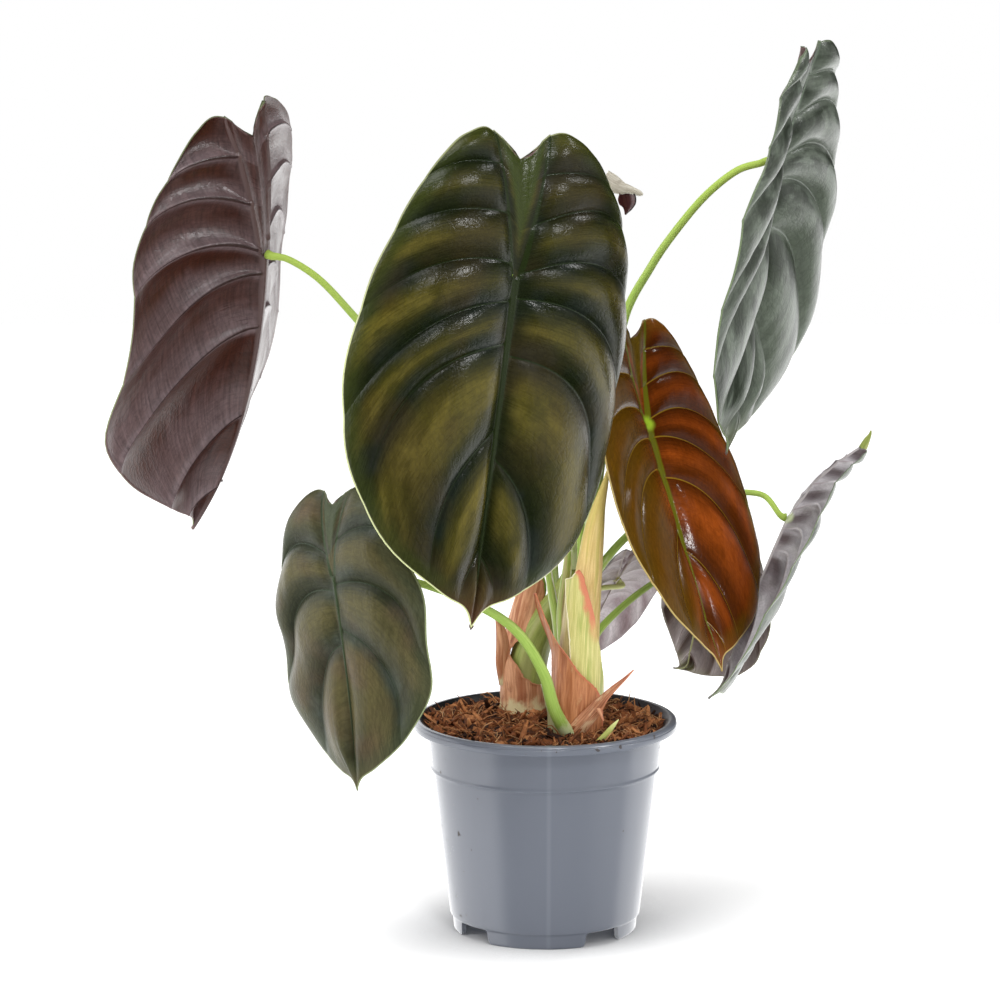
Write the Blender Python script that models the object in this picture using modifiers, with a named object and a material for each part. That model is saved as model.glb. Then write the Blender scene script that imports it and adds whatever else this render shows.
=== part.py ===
"""Potted alocasia: a peltate-leaved foliage plant in a round nursery pot.

The pot stands on four foot sectors and holds a domed fill of coir. Two shoots, wrapped in
leaf sheaths, rise from the fill and carry nine blades on long arched petioles. Each blade is
a thin shell with two rounded lobes, a pointed tip and panels that swell between sunken veins.
"""
from math import atan2, cos, hypot, pi, radians, sin

import bmesh
import bpy
import numpy as np
from mathutils import Matrix, Vector

MM = 0.001
GAP = 0.3                    # clearance between neighbouring pieces, mm

# Pot, mm
POT_HEIGHT = 98.0
RIM_RADIUS = 60.0
RIM_DROP = 4.5
WALL = 1.2
SHOULDER_RADIUS = 53.4       # wall just under the rim
STEP_HEIGHT = 74.5           # fine ring where the wall steps in
STEP_RADIUS_ABOVE = 52.0
STEP_RADIUS_BELOW = 51.0
BASE_RADIUS = 43.4
FOOT_HEIGHT = 7.0
FOOT_GAP_WIDTH = 19.0
FOOT_GAP_ANGLES = (-51.5, 38.5, 128.5, 218.5)
DRAIN_RADIUS = 3.5
DRAIN_RING = 33.0
POT_SIDES = 48

# Coir fill, mm
FILL_EDGE_HEIGHT = 92.5
FILL_CROWN_HEIGHT = 96.0
FILL_FLOOR = 9.0

# Blade outline of one half, as fractions of the distance from petiole to tip.
OUTLINE = (
    (0.0, 0.345), (0.045, 0.395), (0.12, 0.425), (0.22, 0.37), (0.32, 0.235), (0.405, 0.03),
    (0.455, -0.20), (0.46, -0.40), (0.41, -0.61), (0.29, -0.80), (0.12, -0.925),
    (0.035, -0.97), (0.0, -1.03),
)
# Main veins: where each leaves the spine and where it meets the margin.
VEINS = (
    (0.423, 0.405), (0.30, 0.23), (0.17, 0.11), (0.0, -0.115), (-0.08, -0.42),
    (-0.20, -0.64), (-0.455, -0.868), (-0.90, -0.975), (-1.03, -1.03),
)
LOBE_VEIN_X = 0.105          # where the basal vein ends under the lobe's crown
BLADE_THICKNESS = 0.9        # mm
QUILT = 0.016                # swell between veins, as a fraction of blade length
MIDRIB_GROOVE = 0.007
SCALLOP = 0.03               # how far the margin swells between veins, as a share of width


def blade(at, heading, pitch, lean, length, width=1.0, fold=10.0, skew=0.0, cup=0.0,
          arch_tip=0.0, arch_lobe=0.0, sweep=0.0, twist=0.0, right=1.0, rows=2):
    """Return one blade's pose: at in mm, angles in degrees, heading 0 faces -Y."""
    return dict(at=at, heading=heading, pitch=pitch, lean=lean, length=length, width=width,
                fold=fold, skew=skew, cup=cup, arch_tip=arch_tip, arch_lobe=arch_lobe,
                sweep=sweep, twist=twist, right=right, rows=rows)


BLADES = {
    "front": blade((-13.5, -92, 311), 34, -2, -7, 149, 1.08, 11, 0, -48, 3, 19, -0.01, -1, 1.15),
    "left": blade((-130, 50, 305), -125, 12, -12, 165, 0.96, 23, -5, 5, -31, -17, 0.055, 2, 0.98),
    "low_left": blade((-94, -76, 178), -40, -2, 10, 93, 1.01, -8, -1, -5, 2, 27, 0.075, -1, 1.02),
    "high_right": blade((105, 0, 351), 67, -13, 2, 132, 1.0, 8, 0, 1, -4, -4, 0.01, 4),
    "copper": blade((47, 24, 230), 59, 25, -10, 116, 1.02, 14, 0, -16, -1, -16, 0, 1, 1.05),
    "low_right": blade((115, 62, 178), 83, -25, -42, 108, 1.0, 16, -10, -13, -5, -34, 0.03, 13),
    "right_under": blade((81, 114, 149), 128, 15, 26, 74, 1.0, 14, 0, -4, 5, 2, 0, -1, rows=1),
    "back_low": blade((33, 50, 153), -129, 43, -19, 66, 1.0, -6, 1, 0, 10, -5, 0.04, 3, rows=1),
    "back_high": blade((-16, 60, 315), -90, 75, 180, 62, 0.9, 32, 0, 0, -8, 0, rows=1),
}

# Petiole routes, mm, from the shoot to just short of the blade, and end radii.
PETIOLES = {
    "front": (((13.2, 19.9, 163.8), (11, 15, 190), (5, 2, 235), (-4, -24, 282), (-10, -58, 307)),
              3.4, 2.3),
    "left": (((-9, 28, 101), (-9, 31, 133), (-2, 29, 154), (-18, 31, 184), (-44, 34, 220),
              (-66, 38, 252), (-87, 42, 276), (-103, 44, 293), (-117, 46, 302)), 3.6, 1.9),
    "low_left": (((12, -24, 92), (4, -36, 109), (-1, -42, 127), (-10, -48, 144), (-20, -55, 155),
                  (-34, -62, 164), (-51, -68, 172), (-68, -70, 177), (-83, -70, 179)), 3.6, 1.8),
    "high_right": (((18, -10, 173), (22, -2, 198), (26, 14, 221), (31.5, 33, 250), (37, 40, 278),
                    (48, 34, 300), (57, 26, 315), (71, 15, 334), (85, 5, 347), (96, 1.5, 351)),
                   3.2, 1.9),
    "copper": (((17, -11, 155), (16.5, -2, 172), (17, 8, 198), (22, 19, 216), (33, 27, 226)), 2.6, 1.8),
    "low_right": (((19, -11, 160), (27, -6, 172), (38, 4, 184), (52, 20, 193), (64, 39, 198),
                   (76, 57, 200), (88, 68, 200), (101, 70, 195)), 2.6, 1.7),
    "right_under": (((18, -10, 128), (25, 4, 138), (38, 22, 147), (51, 44, 152), (62, 67, 154),
                     (70, 97, 151)), 2.2, 1.6),
    "back_low": (((17, -10, 132), (17, 1, 141), (19, 16, 148), (24, 32, 151)), 2.0, 1.5),
    "back_high": (((6, 24, 142), (4, 31, 160), (3, 38, 195), (-6, 48, 240), (-14, 57, 280), (-16.5, 60, 303)),
                  2.6, 1.6),
}

# Stems: axis points in mm with the radius at each.
MAIN_SHOOT = ((16, -16, 84, 10.5), (15, -16, 96, 10.8), (14.5, -16, 104, 10.4),
              (15, -15, 114, 10.0), (16, -14, 132, 9.4), (17, -13, 150, 8.4),
              (19.5, -12, 172, 6.4), (23, -12, 190, 3.6), (25.5, -12, 204, 1.8),
              (27, -12, 214, 0.5))
LEFT_SHOOT = ((-9, 26, 84, 9.0), (-9, 26, 98, 9.0), (-7, 26, 110, 8.4), (0, 24, 129, 7.2),
              (7, 22, 143, 5.6), (11, 21, 153, 4.6), (13, 20, 163, 3.6))
NEW_SHOOT = ((21, -32, 88, 1.5), (26, -33, 95, 1.6), (31, -34, 102, 1.0), (33, -34, 105, 0.3))

# Sheath shells: axis x, y, z, radius, centre angle and half angle (0 faces -Y, + toward +X).
OUTER_SHEATH = ((14.5, -16, 97, 11.9, -10, 120), (15, -15, 114, 11.3, -10, 118),
                (16, -14, 132, 10.4, -14, 112), (17, -13, 148, 9.5, -22, 95),
                (18, -13, 158, 8.9, -14, 62), (19, -12.5, 165, 8.4, -4, 34),
                (19.5, -12, 170, 8.1, 2, 5))
DRY_SHEATH = ((14.5, -16, 96.5, 13.4, -6, 92), (15, -15.5, 104, 13.4, -10, 88),
              (15, -15, 114, 12.9, -22, 78), (15, -15, 124, 12.6, -42, 56),
              (15.5, -14.5, 132, 13.2, -58, 36), (16, -14, 140, 15.5, -68, 18),
              (16, -14, 150, 20.5, -62, 7), (16, -14, 161, 27.0, -54, 1.5))
LEFT_DRY_SHEATH = ((-9.5, 26.5, 96.5, 10.8, -15, 125), (-9.5, 27, 106, 10.6, -45, 112),
                   (-10.5, 29, 119, 9.8, -78, 104), (-9, 31, 133, 8.2, -90, 112),
                   (-5, 31, 147, 7.0, -95, 118), (-2, 31, 160, 6.0, -95, 118),
                   (-2, 31, 168, 5.6, -90, 70))
# The pointed wrap at the foot of the main shoot: x, y, z and half width.
SPIKE_WRAP = ((12, -31, 98.5, 4.0), (15, -31.5, 101, 4.6), (18, -32.5, 104.5, 5.0),
              (23, -33, 109, 4.2), (29, -33.5, 115, 2.6), (35, -34, 122, 1.3), (39, -34, 128, 0.3))
SHEATH_THICKNESS = 0.8

COLOURS = {
    "pot_plastic": ((0.34, 0.36, 0.40), 0.45),
    "coir": ((0.13, 0.055, 0.028), 0.95),
    "petiole_green": ((0.36, 0.50, 0.09), 0.45),
    "shoot_green": ((0.42, 0.44, 0.12), 0.55),
    "sheath_pale": ((0.62, 0.52, 0.25), 0.6),
    "sheath_dry": ((0.52, 0.24, 0.12), 0.8),
    "blade_olive": ((0.10, 0.105, 0.035), 0.38),
    "blade_grey": ((0.16, 0.17, 0.12), 0.40),
    "blade_copper": ((0.33, 0.12, 0.03), 0.30),
    "blade_underside": ((0.22, 0.15, 0.15), 0.45),
}
BLADE_MATERIAL = {
    "front": "blade_olive", "left": "blade_underside", "low_left": "blade_grey",
    "high_right": "blade_grey", "copper": "blade_copper", "low_right": "blade_underside",
    "right_under": "blade_underside", "back_low": "blade_underside",
    "back_high": "blade_underside",
}


def clear_scene():
    """Remove every object that the file holds."""
    for item in list(bpy.data.objects):
        bpy.data.objects.remove(item, do_unlink=True)


def collection(name):
    """Return a new collection linked to the scene."""
    group = bpy.data.collections.new(name)
    bpy.context.scene.collection.children.link(group)
    return group


def material(name, label):
    """Return a Principled material named for the piece, with the named colour."""
    colour, roughness = COLOURS[name]
    made = bpy.data.materials.new(label)
    made.use_nodes = True
    shader = made.node_tree.nodes["Principled BSDF"]
    shader.inputs["Base Color"].default_value = (*colour, 1.0)
    shader.inputs["Roughness"].default_value = roughness
    return made


def add_object(name, mesh, group, look=None):
    """Link a mesh object, name it and give it its material."""
    item = bpy.data.objects.new(name, mesh)
    group.objects.link(item)
    if look:
        mesh.materials.append(material(look, name))
    return item


def mesh_from(name, verts, faces, merge=1e-6):
    """Return a mesh from points in mm, with coincident points welded."""
    mesh = bpy.data.meshes.new(name)
    mesh.from_pydata([tuple(c * MM for c in v) for v in verts], [], faces)
    sheet = bmesh.new()
    sheet.from_mesh(mesh)
    bmesh.ops.remove_doubles(sheet, verts=sheet.verts, dist=merge)
    bmesh.ops.dissolve_degenerate(sheet, dist=merge, edges=sheet.edges)
    bmesh.ops.recalc_face_normals(sheet, faces=sheet.faces)
    sheet.to_mesh(mesh)
    sheet.free()
    return mesh


def smooth(item, angle=40.0):
    """Shade smooth, with edges over the angle kept sharp."""
    item.data.shade_smooth()
    item.data.set_sharp_from_angle(angle=radians(angle))


def spline(points, count):
    """Return count points along a Catmull-Rom curve through the given points."""
    pts = np.array(points, dtype=float)
    ends = np.vstack([2 * pts[0] - pts[1], pts, 2 * pts[-1] - pts[-2]])
    fine = []
    for i in range(1, len(ends) - 2):
        a, b, c, d = ends[i - 1:i + 3]
        for t in np.linspace(0.0, 1.0, 16, endpoint=False):
            fine.append(0.5 * (2 * b + (c - a) * t + (2 * a - 5 * b + 4 * c - d) * t ** 2
                               + (3 * b - 3 * c + d - a) * t ** 3))
    fine = np.array(fine + [pts[-1]])
    steps = np.linalg.norm(np.diff(fine[:, :3], axis=0), axis=1)
    along = np.concatenate([[0.0], np.cumsum(steps)])
    at = np.linspace(0.0, along[-1], count)
    return np.stack([np.interp(at, along, fine[:, k]) for k in range(fine.shape[1])], axis=-1)


def tube(name, points, group, look=None, grow=0.0, resolution=2):
    """Make a closed tube through (x, y, z, radius) points, as a mesh."""
    curve = bpy.data.curves.new(name, "CURVE")
    curve.dimensions = "3D"
    curve.bevel_depth = MM
    curve.bevel_resolution = resolution
    curve.use_fill_caps = True
    line = curve.splines.new("POLY")
    line.points.add(len(points) - 1)
    for knot, (x, y, z, radius) in zip(line.points, points):
        knot.co = (x * MM, y * MM, z * MM, 1.0)
        knot.radius = radius + grow
    holder = bpy.data.objects.new(name + "_curve", curve)
    bpy.context.scene.collection.objects.link(holder)
    seen = bpy.context.evaluated_depsgraph_get()
    mesh = bpy.data.meshes.new_from_object(holder.evaluated_get(seen))
    bpy.data.objects.remove(holder, do_unlink=True)
    solid = bmesh.new()
    solid.from_mesh(mesh)
    bmesh.ops.remove_doubles(solid, verts=solid.verts, dist=1e-6)
    bmesh.ops.recalc_face_normals(solid, faces=solid.faces)
    solid.to_mesh(mesh)
    solid.free()
    mesh.name = name
    item = add_object(name, mesh, group, look)
    smooth(item)
    return item


def thicken(item, thickness):
    """Give an open sheet a thickness in mm, half on each side."""
    shell = item.modifiers.new("Thickness", "SOLIDIFY")
    shell.thickness = thickness * MM
    shell.offset = 0.0


def as_cutter(item):
    """Mark an object as a construction solid that isn't part of the model."""
    item.hide_render = True
    item.display_type = "WIRE"
    return item


def cut(item, cutter, crossing=False):
    """Subtract a cutter from an object; crossing cutters fold over themselves."""
    step = item.modifiers.new("Cut " + cutter.name, "BOOLEAN")
    step.operation = "DIFFERENCE"
    step.solver = "EXACT"
    step.object = cutter
    step.use_self = crossing


def turned(name, profile, sides, group, look=None):
    """Turn a profile of (radius, height) points, outer side first and top to bottom."""
    mesh = bpy.data.meshes.new(name)
    points = [(r * MM, 0.0, z * MM) for r, z in profile]
    edges = [(i, i + 1) for i in range(len(points) - 1)]
    if profile[0][0] > 0.0 and profile[-1][0] > 0.0:
        edges.append((len(points) - 1, 0))
    mesh.from_pydata(points, edges, [])
    item = add_object(name, mesh, group, look)
    screw = item.modifiers.new("Turn", "SCREW")
    screw.steps = sides
    screw.render_steps = sides
    screw.use_merge_vertices = True
    screw.merge_threshold = 1e-5
    screw.use_smooth_shade = True
    return item


# ---------------------------------------------------------------- pot and fill

def wall_radius(height):
    """Outer radius of the pot's wall at a height below the step."""
    share = (height - FOOT_HEIGHT) / (STEP_HEIGHT - FOOT_HEIGHT)
    return BASE_RADIUS + (STEP_RADIUS_BELOW - BASE_RADIUS) * share


def make_pot(group, cutters):
    """The pot: rolled rim, stepped tapering wall, raised floor and four foot sectors."""
    top = POT_HEIGHT
    under = top - RIM_DROP
    profile = [
        (RIM_RADIUS - 1.6, top), (RIM_RADIUS - 0.5, top - 0.4), (RIM_RADIUS, top - 1.4),
        (RIM_RADIUS, under), (RIM_RADIUS - WALL, under), (RIM_RADIUS - WALL, top - 2.4),
        (SHOULDER_RADIUS + 2.2, top - 2.6), (SHOULDER_RADIUS, top - 5.5),
        (STEP_RADIUS_ABOVE, STEP_HEIGHT + 0.5), (STEP_RADIUS_BELOW, STEP_HEIGHT - 0.5),
        (BASE_RADIUS, FOOT_HEIGHT), (BASE_RADIUS - 1.0, FOOT_HEIGHT - 0.6),
        (BASE_RADIUS - 1.6, 0.0), (BASE_RADIUS - 1.6 - 2 * WALL, 0.0),
        (BASE_RADIUS - 1.4 - 2 * WALL, FOOT_HEIGHT), (0.0, FOOT_HEIGHT),
        (0.0, FOOT_HEIGHT + WALL), (BASE_RADIUS - WALL, FOOT_HEIGHT + WALL),
        (STEP_RADIUS_BELOW - WALL, STEP_HEIGHT - 0.5),
        (STEP_RADIUS_ABOVE - WALL, STEP_HEIGHT + 0.5), (SHOULDER_RADIUS - WALL, top - 5.5),
        (SHOULDER_RADIUS + 1.4, top - 1.4), (RIM_RADIUS - 3.2, top),
    ]
    pot = turned("nursery_pot", profile, POT_SIDES, group, "pot_plastic")
    pot.modifiers["Turn"].merge_threshold = 1e-5
    for index, angle in enumerate(FOOT_GAP_ANGLES):
        turn = radians(angle)
        outward = Vector((sin(turn), -cos(turn), 0.0))
        bpy.ops.mesh.primitive_cube_add(size=1.0)
        slot = bpy.context.object
        slot.name = f"foot_gap_{index + 1}"
        slot.scale = (FOOT_GAP_WIDTH * MM, 16 * MM, (FOOT_HEIGHT - 0.4 + 5.0) * MM)
        slot.rotation_euler = (0.0, 0.0, turn)
        slot.location = outward * (BASE_RADIUS - 2.0) * MM
        slot.location.z = (FOOT_HEIGHT - 0.4 - 5.0) * MM / 2
        bpy.ops.mesh.primitive_cylinder_add(vertices=12, radius=DRAIN_RADIUS * MM,
                                            depth=12 * MM)
        drain = bpy.context.object
        drain.name = f"drain_{index + 1}"
        drain.location = outward * DRAIN_RING * MM
        drain.location.z = FOOT_HEIGHT * MM
        for tool in (slot, drain):
            tool.users_collection[0].objects.unlink(tool)
            cutters.objects.link(tool)
            cut(pot, as_cutter(tool))
    return pot


def make_fill(group):
    """The coir: a turned solid that follows the pot's wall, with a low crown."""
    inset = WALL + GAP
    rise = FILL_CROWN_HEIGHT - FILL_EDGE_HEIGHT
    profile = [(0.0, FILL_CROWN_HEIGHT)]
    edge = SHOULDER_RADIUS - inset - 0.4
    for share in (0.35, 0.7, 0.9, 1.0):
        profile.append((edge * share, FILL_CROWN_HEIGHT - rise * share ** 2))
    profile += [
        (SHOULDER_RADIUS - inset - 1.4, STEP_HEIGHT + 4.0),
        (STEP_RADIUS_BELOW - inset - 0.3, STEP_HEIGHT - 2.5),
        (BASE_RADIUS - inset + 0.2, FILL_FLOOR + 1.0), (BASE_RADIUS - inset - 2.0, FILL_FLOOR),
        (0.0, FILL_FLOOR),
    ]
    return turned("substrate", profile, POT_SIDES, group, "coir")


# ---------------------------------------------------------------- blades

def outline_curve():
    """Return the outline as a dense polyline, lobe notch to tip."""
    return spline(OUTLINE, 240)


def margin_point(y, curve):
    """Return the point of the outer margin at a height along the blade."""
    crown = int(np.argmax(curve[:, 1]))
    side = curve[crown:]
    return np.array([np.interp(-y, -side[:, 1], side[:, 0]), y])


def spine_point(y):
    """Return a point of the basal vein above the petiole, or of the midrib below it."""
    if y <= 0.0:
        return np.array([0.0, y])
    share = y / VEINS[0][0]
    return np.array([LOBE_VEIN_X * share ** 1.1, y])


def row_curve(spine_y, margin_y, curve, columns):
    """Return one row of blade points that follows a side vein from spine to margin."""
    start = spine_point(spine_y)
    end = margin_point(margin_y, curve)
    mid = start + np.array([0.62, 0.18]) * (end - start)
    t = np.linspace(0.0, 1.0, columns + 1)[:, None]
    return (1 - t) ** 2 * start + 2 * t * (1 - t) * mid + t ** 2 * end


def notch_row(curve, columns):
    """Return the sinus margin from the notch to the end of the basal vein."""
    end = np.array([LOBE_VEIN_X, VEINS[0][0]])
    side = curve[curve[:, 0] <= LOBE_VEIN_X]
    side = side[side[:, 1] > 0.3]
    side = np.vstack([side, end])
    pick = np.linspace(0, len(side) - 1, columns + 1).round().astype(int)
    return side[pick]


def blade_sheet(rows, columns=4, strip=2):
    """Return flat points, swell weights and faces for one blade, both halves."""
    curve = outline_curve()
    points = []
    swell = []
    faces = []

    def grid(lines, weights, side):
        """Add a lattice of rows, mirrored when side is -1."""
        base = len(points)
        width = len(lines[0])
        for line, weight in zip(lines, weights):
            for (x, y), w in zip(line, weight):
                points.append((side * x, y))
                swell.append(w)
        for i in range(len(lines) - 1):
            for j in range(width - 1):
                a = base + i * width + j
                quad = (a, a + 1, a + width + 1, a + width)
                faces.append(quad if side < 0 else quad[::-1])

    for side in (1, -1):
        lines = []
        weights = []
        inner = []
        inner_weights = []
        for panel in range(len(VEINS) - 1):
            (s0, m0), (s1, m1) = VEINS[panel:panel + 2]
            steps = rows if panel < len(VEINS) - 2 else 1
            for k in range(steps):
                share = k / steps
                s = s0 + (s1 - s0) * share
                m = m0 + (m1 - m0) * share
                line = row_curve(s, m, curve, columns)
                line[:, 0] *= 1.0 + SCALLOP * sin(pi * share) * np.linspace(0, 1, columns + 1)
                across = np.linspace(0.0, 1.0, columns + 1)
                bulge = sin(pi * share) * np.sin(pi * across ** 0.8)
                lines.append(line)
                weights.append(bulge * min(1.0, (m0 - m1) / 0.2))
                if s > 0.0:
                    if panel == 0 and k == 0:
                        inner.append(notch_row(curve, strip))
                    else:
                        t = np.linspace(0.0, 1.0, strip + 1)[:, None]
                        centre = np.array([0.0, s * OUTLINE[0][1] / VEINS[0][0]])
                        inner.append(centre + t * (spine_point(s) - centre))
                    inner_weights.append(np.zeros(strip + 1))
        tip = np.array([0.0, OUTLINE[-1][1]])
        lines.append(np.tile(tip, (columns + 1, 1)))
        weights.append(np.zeros(columns + 1))
        inner.append(np.zeros((strip + 1, 2)))
        inner_weights.append(np.zeros(strip + 1))
        grid(lines, weights, side)
        grid(inner, inner_weights, side)
    return np.array(points), np.array(swell), faces


def blade_frame(pose):
    """Return the blade's right, up and normal directions."""
    h, p, lean = (radians(pose[k]) for k in ("heading", "pitch", "lean"))
    normal = np.array([sin(h) * cos(p), -cos(h) * cos(p), sin(p)])
    down = np.array([0.0, 0.0, -1.0]) + normal * normal[2]
    down /= np.linalg.norm(down)
    tip = cos(lean) * down + sin(lean) * np.cross(-down, normal)
    return np.cross(-tip, normal), -tip, normal


def bend_blade(x, y, lift, pose):
    """Fold, cup, arch and twist flat blade points, and place them in mm."""
    length = pose["length"]
    wide = length * pose["width"]
    side = np.where(x < 0, -1.0, 1.0)
    across = np.abs(x) * wide * np.where(x > 0, pose["right"], 1.0)
    fold = np.radians(pose["fold"] + side * pose["skew"])
    curl = (radians(pose["cup"]) + 2e-4) / (0.46 * wide)
    out = side * (np.sin(fold + curl * across) - np.sin(fold)) / curl
    rise = -(np.cos(fold + curl * across) - np.cos(fold)) / curl
    out = out - side * lift * np.sin(fold + curl * across)
    rise = rise + lift * np.cos(fold + curl * across)
    turn = radians(pose["twist"]) * -y
    out, rise = (out * np.cos(turn) - rise * np.sin(turn),
                 out * np.sin(turn) + rise * np.cos(turn))
    out = out + pose["sweep"] * length * y * np.abs(y)
    low = y < 0
    tip_arch, lobe_arch = radians(pose["arch_tip"]) + 2e-4, radians(pose["arch_lobe"]) + 2e-4
    rate = np.where(low, tip_arch, lobe_arch / 0.43) / length
    bend = rate * length * np.abs(y)
    along = np.where(low, -1.0, 1.0) * np.sin(bend) / rate
    sink = -(1.0 - np.cos(bend)) / rate
    tilt = np.where(low, 1.0, -1.0) * np.sin(bend)
    right, up, normal = blade_frame(pose)
    local = np.stack([out, along - rise * tilt, sink + rise * np.cos(bend)], axis=-1)
    return np.array(pose["at"]) + local @ np.stack([right, up, normal])


def make_blade(name, pose, group, group_cutters):
    """One blade: an open sheet of vein-following rows, given thickness.

    Returns a slightly thicker copy, which trims the petiole's end clear of the blade.
    """
    flat, swell, faces = blade_sheet(pose["rows"])
    length = pose["length"]
    groove = np.exp(-(flat[:, 0] / 0.02) ** 2) * np.clip((flat[:, 1] + 1.0) * 4, 0, 1)
    lift = length * (QUILT * swell - MIDRIB_GROOVE * groove)
    placed = bend_blade(flat[:, 0], flat[:, 1], lift, pose)
    item = add_object(f"blade_{name}", mesh_from(f"blade_{name}", placed, faces), group,
                      BLADE_MATERIAL[name])
    sheet = bmesh.new()
    sheet.from_mesh(item.data)
    normal = Vector(blade_frame(pose)[2])
    total = Vector((0.0, 0.0, 0.0))
    for face in sheet.faces:
        total += face.normal * face.calc_area()
    if total.dot(normal) < 0:
        bmesh.ops.reverse_faces(sheet, faces=sheet.faces)
    bmesh.ops.triangulate(sheet, faces=sheet.faces)
    sheet.to_mesh(item.data)
    sheet.free()
    thicken(item, BLADE_THICKNESS)
    smooth(item, 50.0)
    trimmer = add_object(f"blade_core_{name}", item.data, group_cutters)
    thicken(trimmer, BLADE_THICKNESS + 2 * GAP)
    return as_cutter(trimmer)


# ---------------------------------------------------------------- petioles and sheaths

def grown(points):
    """Return tube points run on past both ends by the clearance."""
    first, second, last, before = points[0], points[1], points[-1], points[-2]
    head = np.array(first)
    foot = np.array(last)
    head[:3] += GAP * (first - second)[:3] / np.linalg.norm((first - second)[:3])
    foot[:3] += GAP * (last - before)[:3] / np.linalg.norm((last - before)[:3])
    return np.vstack([head, points, foot])


def petiole_points(name, count):
    """Return a petiole's points and radii, ending square to its blade's underside."""
    route, foot, head = PETIOLES[name]
    pose = BLADES[name]
    normal = blade_frame(pose)[2]
    under = MIDRIB_GROOVE * pose["length"] + BLADE_THICKNESS / 2 + GAP
    under += max(0.0, -sin(radians(pose["fold"]))) * head
    end = np.array(pose["at"]) - normal * under
    line = np.vstack([spline([*route, tuple(end - normal * 4.0)], count - 1), end])
    share = np.linspace(0.0, 1.0, count)[:, None]
    return np.hstack([line, foot + (head - foot) * share ** 0.7])


def sheath(name, stations, group, look, rows=9, columns=8):
    """Make a curved sheath shell from stations of axis, radius and angular span."""
    fine = spline(stations, rows)
    verts = []
    faces = []
    for x, y, z, radius, centre, half in fine:
        for share in np.linspace(-1.0, 1.0, columns + 1):
            angle = radians(centre + half * share)
            verts.append((x + radius * sin(angle), y - radius * cos(angle), z))
    wide = columns + 1
    for i in range(rows - 1):
        for j in range(columns):
            a = i * wide + j
            faces.append((a, a + 1, a + wide + 1, a + wide))
    item = add_object(name, mesh_from(name, verts, faces), group, look)
    thicken(item, SHEATH_THICKNESS)
    smooth(item, 50.0)
    return item


def strip(name, stations, group, look, columns=4):
    """Make a pointed wrap: a strip of half widths along a path, bowed toward -Y."""
    fine = spline(stations, 9)
    verts = []
    faces = []
    for i, (x, y, z, half) in enumerate(fine):
        before, after = fine[max(i - 1, 0)], fine[min(i + 1, len(fine) - 1)]
        heading = atan2(after[2] - before[2], after[0] - before[0])
        for share in np.linspace(-1.0, 1.0, columns + 1):
            step = half * share
            bow = 0.3 * half * share * share
            verts.append((x - step * sin(heading), y + bow, z + step * cos(heading)))
    wide = columns + 1
    for i in range(len(fine) - 1):
        for j in range(columns):
            a = i * wide + j
            faces.append((a, a + 1, a + wide + 1, a + wide))
    item = add_object(name, mesh_from(name, verts, faces), group, look)
    thicken(item, SHEATH_THICKNESS)
    smooth(item, 50.0)
    return item


def make_plant(group, cutters, fill):
    """Shoots, sheaths, petioles and blades, each clear of its neighbours."""
    main = spline(MAIN_SHOOT, 12)
    left = spline(LEFT_SHOOT, 9)
    new = spline(NEW_SHOOT, 5)
    tube("main_shoot", main, group, "shoot_green", resolution=3)
    tube("left_shoot", left, group, "shoot_green", resolution=3)
    tube("new_shoot", new, group, "petiole_green", resolution=1)
    wraps = {
        "main_outer_sheath": sheath("main_outer_sheath", OUTER_SHEATH, group, "sheath_pale"),
        "main_dry_sheath": sheath("main_dry_sheath", DRY_SHEATH, group, "sheath_dry", 10, 6),
        "left_dry_sheath": sheath("left_dry_sheath", LEFT_DRY_SHEATH, group, "sheath_dry"),
    }
    spike = strip("spike_wrap", SPIKE_WRAP, group, "sheath_dry")
    cores = [as_cutter(tube("main_core", grown(main), cutters, grow=GAP, resolution=3)),
             as_cutter(tube("left_core", grown(left), cutters, grow=GAP, resolution=3)),
             as_cutter(tube("new_core", grown(new), cutters, grow=GAP, resolution=1))]
    for wrap, core in zip(wraps.values(), (cores[0], cores[0], cores[1])):
        cut(wrap, core, crossing=True)
    for name in BLADES:
        leaf = make_blade(name, BLADES[name], group, group_cutters=cutters)
        line = petiole_points(name, 14)
        stalk = tube(f"petiole_{name}", line, group, "petiole_green")
        foot = as_cutter(tube(f"petiole_core_{name}", grown(line[:7]), cutters, grow=GAP))
        for core in cores[:2]:
            cut(stalk, core)
        cut(stalk, leaf, crossing=True)
        for wrap in wraps.values():
            if name in ("low_left", "left", "right_under"):
                cut(wrap, foot)
    for core in (*cores, cutters.objects["petiole_core_low_left"]):
        cut(fill, core)
    for core in (cores[0], cutters.objects["petiole_core_low_left"]):
        cut(spike, core)


def centre_on_footprint(group):
    """Move the model so that its bounding box stands centred on the origin."""
    bpy.context.view_layer.update()
    seen = bpy.context.evaluated_depsgraph_get()
    low = Vector((1e9, 1e9, 1e9))
    high = -low
    for item in group.objects:
        shape = item.evaluated_get(seen)
        for corner in shape.bound_box:
            spot = shape.matrix_world @ Vector(corner)
            low = Vector(map(min, low, spot))
            high = Vector(map(max, high, spot))
    shift = Vector(((low.x + high.x) / 2, (low.y + high.y) / 2, low.z))
    for item in bpy.data.objects:
        if item.parent is None:
            item.location -= shift


def main():
    """Build the whole object."""
    clear_scene()
    parts = collection("potted_alocasia")
    cutters = collection("cutters")
    make_pot(parts, cutters)
    fill = make_fill(parts)
    make_plant(parts, cutters, fill)
    centre_on_footprint(parts)


main()
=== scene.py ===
from math import cos, hypot, pi, radians, sin

import bpy
import numpy as np
from mathutils import Matrix, Vector, noise


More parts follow.
